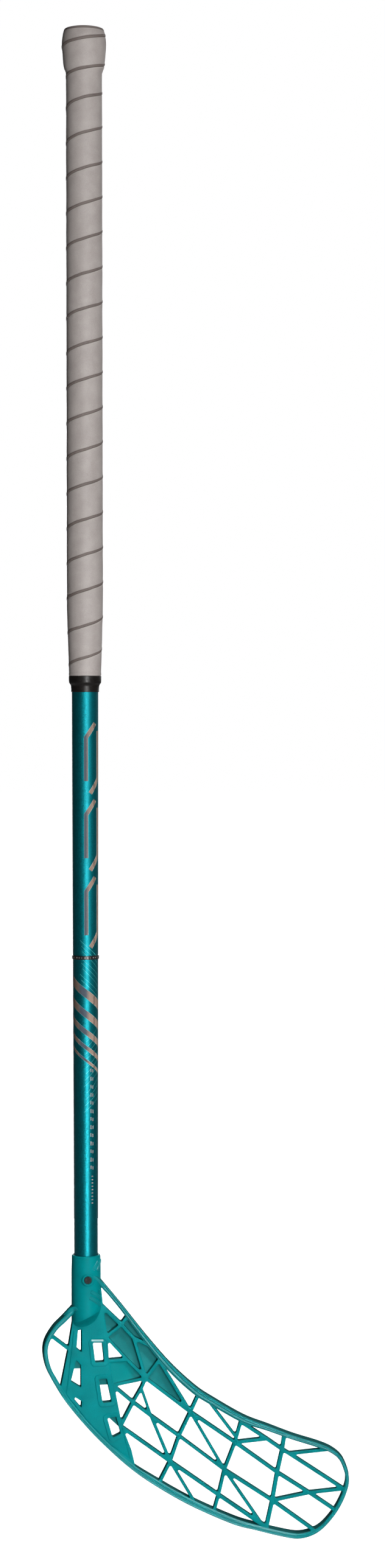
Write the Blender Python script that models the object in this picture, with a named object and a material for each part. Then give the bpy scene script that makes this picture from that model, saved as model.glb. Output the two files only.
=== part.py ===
"""Floorball stick: a tapered composite shaft, a grip wound over a flared end cap, and a one-piece lattice blade.

Metres, +Z up along the shaft. The origin is the middle of the flat butt face on top, so everything else hangs
below it. The toe points to +X and the hollow side of the blade faces -Y.
"Depth" is a distance down from the butt face. "Down" is a distance below the mouth of the blade's socket.
"""

import math

import bpy
from mathutils import Matrix, Vector
from mathutils.geometry import delaunay_2d_cdt

MM = 0.001
CLEARANCE = 0.3 * MM
ROUND_STEPS = 48

# Shaft: straight under the grip, a short cone at the grip's foot, then a long slight taper
SHAFT_LENGTH = 1000 * MM
SHAFT_WALL = 1.5 * MM
SHAFT_GRIP_RADIUS = 11.6 * MM
SHAFT_NECK_RADIUS = 10.33 * MM
SHAFT_TIP_RADIUS = 9.3 * MM
CONE_TOP_DEPTH = 453.5 * MM
CONE_LENGTH = 66.5 * MM
SHAFT_IN_SOCKET = 45.3 * MM

# End cap: a disc on the shaft's end, a flared skirt outside and a hollow plug inside
CAP_TOP = 3.5 * MM
CAP_EDGE_ROUND = 1.1 * MM
CAP_SKIRT_DEPTH = 33.0 * MM
CAP_PLUG_DEPTH = 26.0 * MM
CAP_PLUG_WALL = 1.8 * MM

# Grip: a thin underlay on the shaft and one soft strip wound over it and over the cap
GRIP_ON_CONE = 52.5 * MM
UNDERLAY_THICKNESS = 0.7 * MM
UNDERLAY_TOP_DEPTH = 36.0 * MM
TAPE_THICKNESS = 1.15 * MM
TAPE_STRETCH = 0.67
TAPE_TOP_TRIM = 0.5 * MM
TAPE_GROOVE = 2.2 * MM
TAPE_GAP = 0.6 * MM
TAPE_LIP = 0.65 * MM
TAPE_BLUNT_END = 2.5 * MM
TAPE_PITCH = 27.37 * MM
TAPE_KNOB_PITCH = 22.9 * MM
TAPE_TAIL_PITCH = 24.8 * MM
TAPE_KNOB_TURNS = 2
TAPE_KNOB_TILT = 1.0 * MM
TAPE_TAIL_LENGTH = 39.3 * MM
TAPE_FIRST_SEAM_DEPTH = 10.5 * MM
TAPE_STEPS_PER_TURN = 24
TAPE_SPANS_ON_KNOB = 6
TAPE_SPANS_ON_CONE = 3
TAPE_OVER_CAP = 0.45 * MM
# How far the knob stands proud of the straight grip: (depth, height)
KNOB_BULGE = (
    (0.0, 0.8 * MM),
    (1.5 * MM, 1.6 * MM),
    (5.0 * MM, 2.5 * MM),
    (11.5 * MM, 3.25 * MM),
    (18.5 * MM, 2.85 * MM),
    (30.5 * MM, 1.65 * MM),
    (34.5 * MM, 0.0),
)

# Band that holds the foot of the grip: (distance below the grip's foot, wall)
BAND_PROFILE = (
    (0.3 * MM, 2.1 * MM),
    (3.9 * MM, 2.05 * MM),
    (5.8 * MM, 1.6 * MM),
    (7.6 * MM, 0.8 * MM),
    (9.6 * MM, 0.5 * MM),
    (13.0 * MM, 0.5 * MM),
)

# Narrow ring round the shaft
RING_DEPTH = 724.2 * MM
RING_HEIGHT = 2.9 * MM
RING_WALL = 0.3 * MM

# Blade: a lattice inside a thick rim, bent to a slight hollow, and turned a little about the shaft
BLADE_YAW = 0.16
BLADE_CURVE_RADIUS = 1111 * MM
RIM_THICKNESS = 11.5 * MM
RIB_RECESS = 1.5 * MM
RIB_THICKNESS_HEEL = 7.2 * MM
RIB_THICKNESS_TOE = 4.8 * MM
PANEL_THICKNESS = 1.8 * MM
FRAME_HEIGHT = 0.6 * MM
FRAME_BORDER = 2.6 * MM
LEDGE_SINK = 3.5 * MM
CORNER_RADIUS = 1.0 * MM
OUTLINE_STEP = 6.0 * MM
FILLET_STEPS = 3

# Socket of the blade, round the shaft's end
SOCKET_MOUTH_RADIUS = 11.2 * MM
SOCKET_RADIUS = 11.55 * MM
SOCKET_LIP = 1.2 * MM
SOCKET_SWELL_DOWN = 16 * MM
SOCKET_ROUND_DOWN = 47.2 * MM
SOCKET_ROUND_TILT = 0.47
SOCKET_FOOT_DOWN = 57 * MM
SOCKET_FOOT_TILT = 0.26
SOCKET_FOOT_SQUASH = 0.36
SOCKET_FOOT_NARROW = 0.88

# Blade screw, through the socket's boss into the shaft
SCREW_DOWN = 18.1 * MM
SCREW_HEAD_RADIUS = 2.9 * MM
SCREW_HEAD_HEIGHT = 1.3 * MM
SCREW_SHANK_RADIUS = 1.45 * MM
SCREW_LENGTH = 9.0 * MM
SCREW_RECESS_WIDTH = 0.7 * MM
SCREW_RECESS_DEPTH = 0.7 * MM
SCREW_SEAT_WALL = 1.0 * MM
BOSS_RADIUS = 5.3 * MM
BOSS_TOP_RADIUS = 4.5 * MM
BOSS_HEIGHT = 0.7 * MM
BOSS_BORE_CLEARANCE = 0.6 * MM

# Outer edge of the blade, clockwise from the socket's toe side: (x, down, rim width), in millimetres
OUTLINE = (
    (12.5, 21, 3.6), (28.3, 40.8, 3.4), (47.2, 65.3, 4.2), (66.2, 87.8, 5.2), (85.2, 105.8, 5.4),
    (99.8, 115.9, 5.1), (123.4, 129.8, 4.9), (142.4, 137.3, 3.9), (161.8, 144.8, 3.4), (181, 150.8, 3.4),
    (192, 155.5, 2.9), (200, 162.3, 2.5), (204.8, 173, 2.7), (205.8, 180.5, 3.0), (204.3, 188, 3.1),
    (200.3, 197.8, 3.1), (194, 208, 2.9), (185, 218, 2.9), (176, 223.5, 3.5), (165, 225.7, 3.7),
    (151.5, 223.5, 3.7), (132.5, 218.7, 3.8), (113, 213.2, 4.5), (79.5, 197.7, 4.7), (51, 180.5, 4.5),
    (31.7, 166, 3.3), (12.6, 148, 3.0), (-1.8, 132.4, 3.0), (-15.8, 114.8, 3.2), (-24.7, 100.7, 3.6),
    (-31, 88, 3.4), (-33.5, 75.5, 3.2), (-32, 65.5, 3.3), (-25.8, 55.3, 3.5), (-18.8, 48.3, 3.9), (-10.5, 39.7, 4.1),
)
# The edge closes inside the socket's wall
OUTLINE_ROOT = ((-3, 31.5), (5, 11.5))

# Where ribs meet: (x, down) in millimetres. Rim points are drawn onto the rim's inner edge.
RIM_POINTS = {
    "throat": (11.5, 22), "top1": (33, 48.5), "top2": (48.5, 69.5), "top3": (58.5, 82.5), "top4": (89, 110),
    "top5": (99.5, 118.5), "top6": (121, 133), "top7": (156, 142.5), "top8": (187, 155.5), "toe1": (201.5, 187),
    "toe2": (194.5, 203.5), "low1": (177.5, 219), "low2": (140.5, 217.5), "low3": (98, 206), "low4": (82, 196),
    "low5": (56.5, 180), "low6": (37, 164), "low7": (-18, 102.5), "heel1": (-28.5, 61.5), "heel2": (-10.5, 41.5),
}
KNOTS = {
    "plate1": (-13.3, 73.5), "spine1": (11.5, 40), "spine2": (15, 64.3), "spine3": (16, 83.5), "spine4": (20, 102.5),
    "spine5": (26.3, 135), "spine6": (33.5, 154), "a1": (27, 55.5), "a2": (36.5, 66), "a3": (31.3, 82.7),
    "b1": (46, 98), "b2": (42.5, 105.5), "b3": (36, 116.5), "b4": (50, 127.5), "b5": (65, 163.8),
    "c1": (81, 125.5), "c2": (72, 144), "d1": (116, 150), "d2": (107.6, 171.4), "d3": (103, 191),
    "e1": (141, 147.5), "e2": (153.2, 156), "e3": (149.2, 174), "e4": (145.3, 196), "f1": (158.7, 159.3),
    "f2": (174.3, 190), "g2": (137, 214.5),
}
# A place on a rib where another rib ends: the rib's ends, and the share of its length
KNOTS_ON_RIBS = {"g1": ("d1", "top6", 0.235)}
RIB_WIDTH = 2.5
THIN_RIB_WIDTH = 2.1
WIDE_RIB_WIDTH = 3.1
RIBS = (
    "heel2 plate1", "plate1 low7", "heel1 plate1", "throat spine1", "spine1 spine2", "spine2 spine3",
    "spine3 spine4", "spine4 spine5", "spine5 spine6", "spine6 low6", "a1 spine2", "a1 top1", "a1 a2",
    "a2 top2", "a2 b1", "a3 b1", "spine3 a3", "b1 top3", "b1 c1", "c1 top3", "spine4 b1", "spine4 b3",
    "b2 b1", "b3 b4", "b3 spine5", "spine5 b5", "b4 c2", "b4 b5", "c1 c2", "c2 b5", "c1 top4", "c1 d1",
    "d1 g1", "g1 top6", "top6 e1", "d1 e1", "e1 e2", "e2 f1", "f1 top8", "f1 toe1", "d1 e3", "d2 e4", "d1 d2",
    "e3 f2", "e4 f2", "f2 toe1", "f2 toe2", "e4 low1", "d3 d2", "d3 g2", "d3 low3", "b5 d3", "b5 low5",
)
THIN_RIBS = ("spine2 a3", "b2 b3", "b2 b4", "c2 d2", "c1 d2", "g1 top5", "d2 g2", "b5 low4")
WIDE_RIBS = ("spine1 a1", "e2 top7", "e2 e3", "e3 e4", "e4 low2", "g2 low2")

# Closed fields between ribs: thin sunk panels, and the solid plate at the heel
PANELS = (
    {"spine1", "a1", "spine2"},
    {"a1", "a2", "b1", "a3", "spine2"},
    {"a1", "top1", "top2", "a2"},
    {"a2", "top2", "top3", "b1"},
    {"b1", "top3", "c1"},
    {"spine3", "a3", "b1", "spine4"},
)
HEEL_PLATE = {"heel2", "plate1", "low7", "low6", "spine6", "spine5", "spine4", "spine3", "spine2", "spine1", "throat"}

# Slots through the heel plate, and plain openings with a raised frame: their corners, and the edge of the
# sunk ledge at the top of some of them, as (x, down) in millimetres
SLOTS = (
    (((-6.8, 58), (-4, 58), (-4, 75.8), (-8, 72.3)), None),
    (((-8.2, 81.5), (-4.5, 86), (-4.5, 103.2), (-12.4, 98)), ((-13, 89), (-3, 89))),
    (((-9.3, 110.5), (-4, 114), (-4.3, 119.2), (-9.6, 112.8)), None),
)
FRAMED_OPENINGS = (
    (((4.6, 68.5), (12, 68.8), (13.5, 83.8), (6.5, 84)), None),
    (((9.3, 97), (15.3, 97), (19.3, 115.3), (12.2, 115.7)), ((8, 102.5), (20, 102.5))),
    (((15.8, 128), (22.6, 127), (26.2, 140.3), (20, 143.3)), ((17, 128), (24.3, 135))),
)

COLOURS = {
    "teal_paint": ((0.004, 0.16, 0.19, 1), 0.28, 0.6),
    "blade_plastic": ((0.01, 0.24, 0.26, 1), 0.5, 0.0),
    "grip_polyurethane": ((0.33, 0.29, 0.27, 1), 0.75, 0.0),
    "grip_underlay": ((0.12, 0.09, 0.08, 1), 0.85, 0.0),
    "black_rubber": ((0.012, 0.011, 0.011, 1), 0.4, 0.0),
    "black_screw": ((0.02, 0.02, 0.02, 1), 0.35, 0.8),
}

CONE_FOOT_DEPTH = CONE_TOP_DEPTH + CONE_LENGTH
GRIP_LENGTH = CONE_TOP_DEPTH + GRIP_ON_CONE
MOUTH_DEPTH = CAP_TOP + SHAFT_LENGTH - SHAFT_IN_SOCKET
BORE_RADIUS = SHAFT_TIP_RADIUS + CLEARANCE
SCREW_SEAT = BORE_RADIUS + SCREW_SEAT_WALL


# Scene helpers


def clear_scene():
    for obj in list(bpy.data.objects):
        bpy.data.objects.remove(obj, do_unlink=True)


def material(name):
    colour, roughness, metallic = COLOURS[name]
    made = bpy.data.materials.get(name) or bpy.data.materials.new(name)
    made.use_nodes = True
    made.diffuse_color = colour
    shader = made.node_tree.nodes["Principled BSDF"]
    shader.inputs["Base Color"].default_value = colour
    shader.inputs["Roughness"].default_value = roughness
    shader.inputs["Metallic"].default_value = metallic
    return made


def add_object(name, points, faces, material_name, sharp_angle=35):
    mesh = bpy.data.meshes.new(name)
    mesh.from_pydata([tuple(p) for p in points], [], faces)
    mesh.validate()
    mesh.shade_smooth()
    mesh.set_sharp_from_angle(angle=math.radians(sharp_angle))
    mesh.materials.append(material(material_name))
    obj = bpy.data.objects.new(name, mesh)
    bpy.context.scene.collection.objects.link(obj)
    return obj


def as_helper(obj):
    obj.hide_render = True
    obj.display_type = "WIRE"
    return obj


def add_boolean(obj, operation, other):
    modifier = obj.modifiers.new(other.name, "BOOLEAN")
    modifier.operation = operation
    modifier.solver = "EXACT"
    modifier.object = as_helper(other)


# Turned pieces


def ring_points(radius, z, steps=ROUND_STEPS):
    angles = [2 * math.pi * i / steps for i in range(steps)]
    return [Vector((radius * math.cos(a), radius * math.sin(a), z)) for a in angles]


def bridge(first, second, steps):
    """Quads between two rings of vertices, given by the index of the first vertex of each."""
    return [(first + i, first + (i + 1) % steps, second + (i + 1) % steps, second + i) for i in range(steps)]


def turned_solid(profile, steps=ROUND_STEPS):
    """Points and faces of a (radius, z) profile turned about Z. It runs down the outer side, and either
    closes on itself or starts and ends on the axis."""
    points = []
    faces = []
    rings = [(r, z) for r, z in profile if r > 0]
    for radius, z in rings:
        points += ring_points(radius, z, steps)
    for i in range(len(rings) - 1):
        faces += bridge((i + 1) * steps, i * steps, steps)
    last = (len(rings) - 1) * steps
    if profile[0][0] > 0:
        faces += bridge(0, last, steps)
        return points, faces
    faces.append(tuple(range(steps)))
    faces.append(tuple(reversed(range(last, last + steps))))
    return points, faces


def placed(points, matrix):
    return [matrix @ p for p in points]


def smooth_value(table, x):
    """A smooth curve through the (x, y) points of a table, read at x."""
    xs = [p[0] for p in table]
    ys = [p[1] for p in table]
    x = min(max(x, xs[0]), xs[-1])
    i = max(k for k in range(len(xs) - 1) if xs[k] <= x)
    slopes = []
    for k in (i, i + 1):
        low, high = max(k - 1, 0), min(k + 1, len(xs) - 1)
        slopes.append((ys[high] - ys[low]) / (xs[high] - xs[low]))
    width = xs[i + 1] - xs[i]
    t = (x - xs[i]) / width
    return (
        (2 * t**3 - 3 * t**2 + 1) * ys[i]
        + (t**3 - 2 * t**2 + t) * width * slopes[0]
        + (3 * t**2 - 2 * t**3) * ys[i + 1]
        + (t**3 - t**2) * width * slopes[1]
    )


def between(x, x0, x1, y0, y1):
    share = min(max((x - x0) / (x1 - x0), 0), 1)
    return y0 + (y1 - y0) * share


# Radii that the shaft, cap and grip share


def shaft_radius(depth):
    if depth < CONE_FOOT_DEPTH:
        return between(depth, CONE_TOP_DEPTH, CONE_FOOT_DEPTH, SHAFT_GRIP_RADIUS, SHAFT_NECK_RADIUS)
    return between(depth, CONE_FOOT_DEPTH, MOUTH_DEPTH, SHAFT_NECK_RADIUS, SHAFT_TIP_RADIUS)


def stretch(depth):
    """Share of their thickness that the grip's layers keep where they are drawn out over the cone."""
    return between(depth, CONE_TOP_DEPTH, GRIP_LENGTH, 1, TAPE_STRETCH)


def underlay_inner(depth):
    return shaft_radius(depth) + CLEARANCE


def underlay_outer(depth):
    return underlay_inner(depth) + UNDERLAY_THICKNESS * stretch(depth)


def tape_inner(depth):
    bulge = smooth_value(KNOB_BULGE, depth) if depth < KNOB_BULGE[-1][0] else 0
    return underlay_outer(depth) + CLEARANCE + bulge


def tape_outer(depth):
    return tape_inner(depth) + TAPE_THICKNESS * stretch(depth)


# The pieces on the shaft


def make_shaft():
    top = CAP_TOP
    end = CAP_TOP + SHAFT_LENGTH
    depths = (top, CONE_TOP_DEPTH, CONE_FOOT_DEPTH, MOUTH_DEPTH, end)
    outer = [(shaft_radius(d), -d) for d in depths]
    inner = [(shaft_radius(d) - SHAFT_WALL, -d) for d in reversed(depths)]
    points, faces = turned_solid(outer + inner)
    return add_object("shaft", points, faces, "teal_paint")


def make_end_cap():
    skirt = [CAP_EDGE_ROUND + (CAP_SKIRT_DEPTH - CAP_EDGE_ROUND) * i / 9 for i in range(10)]
    outer = [(tape_inner(d) - TAPE_OVER_CAP, -d) for d in skirt]
    face_radius = outer[0][0] - CAP_EDGE_ROUND
    edge = [
        (
            face_radius + CAP_EDGE_ROUND * math.sin(math.radians(a)),
            -CAP_EDGE_ROUND * (1 - math.cos(math.radians(a))),
        )
        for a in (0, 30, 60)
    ]
    skirt_bore = SHAFT_GRIP_RADIUS + CLEARANCE
    seat = -(CAP_TOP - CLEARANCE)
    plug = SHAFT_GRIP_RADIUS - SHAFT_WALL - CLEARANCE
    hollow = plug - CAP_PLUG_WALL
    inside = [
        (skirt_bore, -CAP_SKIRT_DEPTH),
        (skirt_bore, seat),
        (plug, seat),
        (plug, -CAP_PLUG_DEPTH),
        (hollow, -CAP_PLUG_DEPTH),
        (hollow, seat),
    ]
    points, faces = turned_solid([(0, 0)] + edge + outer + inside + [(0, seat)])
    return add_object("end_cap", points, faces, "grip_underlay")


def make_grip_underlay():
    depths = [UNDERLAY_TOP_DEPTH, CONE_TOP_DEPTH, GRIP_LENGTH]
    outer = [(underlay_outer(d), -d) for d in depths]
    inner = [(underlay_inner(d), -d) for d in reversed(depths)]
    points, faces = turned_solid(outer + inner)
    return add_object("grip_underlay", points, faces, "grip_underlay")


def seam_depth(turn):
    """Depth of the groove's middle after this many turns. At a whole number of turns it is on the -Y side."""
    if turn < TAPE_KNOB_TURNS:
        tilt = between(turn, TAPE_KNOB_TURNS - 1, TAPE_KNOB_TURNS, TAPE_KNOB_TILT, 0)
        return TAPE_FIRST_SEAM_DEPTH + turn * TAPE_KNOB_PITCH - tilt * math.sin(2 * math.pi * turn)
    knob_foot = TAPE_FIRST_SEAM_DEPTH + TAPE_KNOB_TURNS * TAPE_KNOB_PITCH
    depth = knob_foot + (turn - TAPE_KNOB_TURNS) * TAPE_PITCH
    tail = GRIP_LENGTH - TAPE_TAIL_LENGTH
    if depth < tail:
        return depth
    return tail + (depth - tail) * TAPE_TAIL_PITCH / TAPE_PITCH


def tape_edges(turn):
    upper = max(seam_depth(turn - 1) + TAPE_GROOVE / 2, TAPE_TOP_TRIM)
    lower = min(seam_depth(turn) - TAPE_GROOVE / 2, GRIP_LENGTH)
    return upper, lower


def tape_turns():
    """The turns at which the strip's cross-section stands, from its trimmed top end to its trimmed foot."""
    turns = [i / TAPE_STEPS_PER_TURN for i in range(-TAPE_STEPS_PER_TURN, 60 * TAPE_STEPS_PER_TURN)]
    kept = []
    for turn in turns:
        upper, lower = tape_edges(turn)
        if lower - upper > TAPE_BLUNT_END:
            kept.append(turn)
    return kept


def tape_section(turn):
    """The runs of points round the strip's section: its thin upper lip, its outer face, its lower lip, its
    lower edge, its inner face and its upper edge. Faces have more points where the surface isn't straight."""
    upper, lower = tape_edges(turn)
    lip = (TAPE_GROOVE - TAPE_GAP) / 2
    top, foot = max(upper - lip, TAPE_TOP_TRIM), min(lower + lip, GRIP_LENGTH)
    spans = 1
    if top < KNOB_BULGE[-1][0]:
        spans = TAPE_SPANS_ON_KNOB
    elif foot > CONE_TOP_DEPTH:
        spans = TAPE_SPANS_ON_CONE
    angle = 2 * math.pi * turn
    out = Vector((-math.sin(angle), -math.cos(angle), 0))

    def point(depth, radius):
        return out * radius - Vector((0, 0, depth))

    shares = [i / spans for i in range(spans + 1)]
    outer = [point(d, tape_outer(d)) for d in (upper + (lower - upper) * t for t in shares)]
    inner = [point(d, tape_inner(d)) for d in (foot + (top - foot) * t for t in shares)]
    upper_lip = point(top, tape_inner(top) + TAPE_LIP * stretch(top))
    lower_lip = point(foot, tape_inner(foot) + TAPE_LIP * stretch(foot))
    return [upper_lip], outer, [lower_lip], inner


def joined(a, b):
    """Faces between two runs of vertices: quads where they have as many, or else one face."""
    if len(a) == len(b):
        return [(a[i], b[i], b[i + 1], a[i + 1]) for i in range(len(a) - 1)]
    return [tuple(a[::-1] + b)]


def make_grip_tape():
    points = []
    faces = []
    rows = []
    for turn in tape_turns():
        runs = []
        for run in tape_section(turn):
            start = len(points)
            points += run
            runs.append(list(range(start, len(points))))
        upper_lip, outer, lower_lip, inner = runs
        rows.append(
            (
                upper_lip + outer[:1],
                outer,
                outer[-1:] + lower_lip,
                lower_lip + inner[:1],
                inner,
                inner[-1:] + upper_lip,
            )
        )
    for row_a, row_b in zip(rows, rows[1:]):
        for run_a, run_b in zip(row_a, row_b):
            faces += joined(run_a, run_b)
    for row, flip in ((rows[0], False), (rows[-1], True)):
        end = [v for run in row for v in run[1:]]
        faces.append(tuple(end[::-1] if flip else end))
    tape = add_object("grip_tape", points, faces, "grip_polyurethane")
    print_least_gap()
    return tape


def print_least_gap():
    """Least distance between neighbouring turns of the strip, over its edge points."""
    lower_edge = []
    upper_edge = []
    for turn in tape_turns():
        upper_lip, outer, lower_lip, inner = tape_section(turn)
        upper_edge.append((turn, upper_lip[0], outer[0], inner[-1]))
        lower_edge.append((turn, lower_lip[0], outer[-1], inner[0]))
    least = min(
        (a - b).length
        for turn_a, *edge_a in lower_edge
        for turn_b, *edge_b in upper_edge
        if 0.7 < turn_b - turn_a < 1.3
        for a in edge_a
        for b in edge_b
    )
    print(f"grip_tape: {len(lower_edge) / TAPE_STEPS_PER_TURN:.1f} turns, least gap to itself {least / MM:.2f} mm")


def make_grip_end_band():
    outer = []
    inner = []
    for below, wall in BAND_PROFILE:
        depth = GRIP_LENGTH + below
        bore = shaft_radius(depth) + CLEARANCE
        outer.append((bore + wall, -depth))
        inner.append((bore, -depth))
    points, faces = turned_solid(outer + inner[::-1])
    return add_object("grip_end_band", points, faces, "black_rubber")


def make_marking_ring():
    depths = (RING_DEPTH, RING_DEPTH + RING_HEIGHT)
    inner = [(shaft_radius(d) + CLEARANCE, -d) for d in depths]
    outer = [(r + RING_WALL, z) for r, z in inner]
    points, faces = turned_solid(outer + inner[::-1])
    return add_object("marking_ring", points, faces, "black_rubber")


# The blade's lattice, drawn flat in (x, down) metres


def smooth_outline():
    """The outer and inner edge of the rim, as two closed lists of points that match one to one."""
    given = [Vector((x * MM, d * MM, w * MM)) for x, d, w in OUTLINE]
    outer = []
    for i in range(len(given) - 1):
        a, b, c, e = given[max(i - 1, 0)], given[i], given[i + 1], given[min(i + 2, len(given) - 1)]
        steps = max(1, round((c - b).length / OUTLINE_STEP))
        for k in range(steps):
            t = k / steps
            outer.append(
                0.5 * (2 * b + (c - a) * t + (2 * a - 5 * b + 4 * c - e) * t**2 + (3 * b - a - 3 * c + e) * t**3)
            )
    outer.append(given[-1])
    inner = []
    for i, p in enumerate(outer):
        along = (outer[min(i + 1, len(outer) - 1)] - outer[max(i - 1, 0)]).to_2d().normalized()
        inward = Vector((-along.y, along.x))
        inner.append(p.to_2d() + inward * p.z)
    root = [Vector((x * MM, d * MM)) for x, d in OUTLINE_ROOT]
    return [p.to_2d() for p in outer] + root, inner


def nearest_on_path(path, p):
    best = None
    for i in range(len(path) - 1):
        a, b = path[i], path[i + 1]
        t = min(max((p - a).dot(b - a) / (b - a).length_squared, 0), 1)
        q = a.lerp(b, t)
        if best is None or (q - p).length < best[0]:
            best = ((q - p).length, i + t, q)
    return best[1], best[2]


def rim_with_points(inner):
    """The rim's inner edge with the ribs' rim points put in: names, or None, and places."""
    marks = [(i, None, p) for i, p in enumerate(inner)]
    for name, (x, d) in RIM_POINTS.items():
        where, place = nearest_on_path(inner, Vector((x * MM, d * MM)))
        marks = [m for m in marks if m[1] or abs(m[0] - where) > 0.15]
        marks.append((where, name, place))
    marks.sort(key=lambda m: m[0])
    return [m[1] for m in marks], [m[2] for m in marks]


def rib_list():
    found = []
    for names, width in ((RIBS, RIB_WIDTH), (THIN_RIBS, THIN_RIB_WIDTH), (WIDE_RIBS, WIDE_RIB_WIDTH)):
        found += [(*pair.split(), width * MM / 2) for pair in names]
    return found


def lattice_graph(inner):
    """Places of all nodes, and for each node its neighbours with half the width of the bar between them."""
    names, places = rim_with_points(inner)
    ids = [name or f"rim {i}" for i, name in enumerate(names)]
    where = dict(zip(ids, places))
    for name, (x, d) in KNOTS.items():
        where[name] = Vector((x * MM, d * MM))
    for name, (a, b, share) in KNOTS_ON_RIBS.items():
        where[name] = where[a].lerp(where[b], share)
    bars = [(a, b, 0.0) for a, b in zip(ids, ids[1:] + ids[:1])]
    bars += rib_list()
    links = {name: {} for name in where}
    for a, b, half in bars:
        links[a][b] = half
        links[b][a] = half
    return where, links


def fields_of(where, links):
    """The closed fields of the lattice, each as a list of node names, by always turning the same way."""
    turns = {}
    for name, others in links.items():
        angles = {o: math.atan2((where[o] - where[name]).y, (where[o] - where[name]).x) for o in others}
        turns[name] = sorted(others, key=angles.get)
    seen = set()
    fields = []
    for a in links:
        for b in links[a]:
            if (a, b) in seen:
                continue
            field = []
            u, v = a, b
            while (u, v) not in seen:
                seen.add((u, v))
                field.append(u)
                order = turns[v]
                u, v = v, order[(order.index(u) - 1) % len(order)]
            fields.append(field)
    return [f for f in fields if area_of([where[n] for n in f]) > 0]


def area_of(points):
    return 0.5 * sum(a.x * b.y - b.x * a.y for a, b in zip(points, points[1:] + points[:1]))


def sides_of(field, where, links):
    """The field's sides: straight ribs, and stretches of rim as paths. Each is (path, half width)."""
    count = len(field)
    start = next(i for i in range(count) if links[field[i - 1]][field[i]] > 0)
    order = [field[(start + i) % count] for i in range(count)] + [field[start]]
    sides = []
    for a, b in zip(order, order[1:]):
        half = links[a][b]
        if half == 0 and sides and sides[-1][1] == 0:
            sides[-1][0].append(where[b])
        else:
            sides.append(([where[a], where[b]], half))
    return sides


def offset_line(side):
    (a, b), half = (side[0][0], side[0][-1]), side[1]
    along = (b - a).normalized()
    return a + Vector((-along.y, along.x)) * half, along


def cross(a, b):
    return a.x * b.y - a.y * b.x


def cut_path(path, point, along):
    """Where the path first leaves the strip beside this line, and the rest of the path."""
    normal = Vector((-along.y, along.x))
    heights = [(p - point).dot(normal) for p in path]
    for i in range(len(path) - 1):
        if heights[i] <= 0 < heights[i + 1]:
            t = heights[i] / (heights[i] - heights[i + 1])
            return [path[i].lerp(path[i + 1], t)] + path[i + 1 :]
    return path


def opening_of(field, where, links):
    """The hole that the bars round a field leave, as (points, whether each is a corner)."""
    sides = sides_of(field, where, links)
    points = []
    for i, side in enumerate(sides):
        before = sides[i - 1]
        after = sides[(i + 1) % len(sides)]
        if side[1] == 0:
            path = cut_path(side[0], *offset_line(before))
            point, along = offset_line(after)
            path = cut_path(path[::-1], point, along)[::-1]
            points += [(p, k in (0, len(path) - 1)) for k, p in enumerate(path)]
        elif before[1] > 0:
            (p, u), (q, v) = offset_line(before), offset_line(side)
            if abs(cross(u, v)) < 0.1:
                points.append((side[0][0] + Vector((-v.y, v.x)) * side[1], False))
            else:
                points.append((p + u * (cross(q - p, v) / cross(u, v)), True))
    return points


def rounded(marked, radius):
    """The outline with an arc at each marked corner."""
    points = []
    count = len(marked)
    for i, (p, is_corner) in enumerate(marked):
        before, after = marked[i - 1], marked[(i + 1) % count]
        to_before, to_after = before[0] - p, after[0] - p
        if not is_corner or min(to_before.length, to_after.length) < 1e-6:
            points.append(p)
            continue
        half = to_before.angle(to_after) / 2
        if half > math.radians(80):
            points.append(p)
            continue
        reach = radius / math.tan(half)
        for other, vector in ((before, to_before), (after, to_after)):
            reach = min(reach, vector.length * (0.45 if other[1] else 0.9))
        arc = reach * math.tan(half)
        middle = p + (to_before.normalized() + to_after.normalized()).normalized() * (arc / math.sin(half))
        start, end = p + to_before.normalized() * reach - middle, p + to_after.normalized() * reach - middle
        turn = start.angle_signed(end)
        for k in range(FILLET_STEPS + 1):
            points.append(middle + Matrix.Rotation(-turn * k / FILLET_STEPS, 2) @ start)
    return points


def cut_across(polygon, a, b):
    """The polygon with points added where a line crosses it, and the part of it above the line."""
    along = b - a
    whole = []
    above = []
    for p, q in zip(polygon, polygon[1:] + polygon[:1]):
        side_p, side_q = cross(along, p - a), cross(along, q - a)
        whole.append(p)
        if side_p < 0:
            above.append(p)
        if side_p * side_q < 0:
            crossing = p.lerp(q, side_p / (side_p - side_q))
            whole.append(crossing)
            above.append(crossing)
    return whole, above


def flat_point(numbers):
    return Vector((numbers[0] * MM, numbers[1] * MM))


def opening_zones(corners, ledge, radius):
    """An opening with round corners, and its ledge if it has one."""
    polygon = rounded([(flat_point(c), True) for c in corners], radius)
    if ledge is None:
        return [(polygon, "hole")]
    whole, above = cut_across(polygon, *(flat_point(p) for p in ledge))
    return [(whole, "hole"), (above, "ledge")]


def grown(points, distance):
    """A convex outline moved outwards."""
    moved = []
    count = len(points)
    for i, p in enumerate(points):
        u, v = (p - points[i - 1]).normalized(), (points[(i + 1) % count] - p).normalized()
        outward = (Vector((u.y, -u.x)) + Vector((v.y, -v.x))).normalized()
        moved.append(p + outward * distance / math.cos(u.angle(v) / 2))
    return moved


def inside(p, polygon):
    odd = False
    for a, b in zip(polygon, polygon[1:] + polygon[:1]):
        if (a.y > p.y) != (b.y > p.y) and p.x < a.x + (p.y - a.y) / (b.y - a.y) * (b.x - a.x):
            odd = not odd
    return odd


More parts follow.
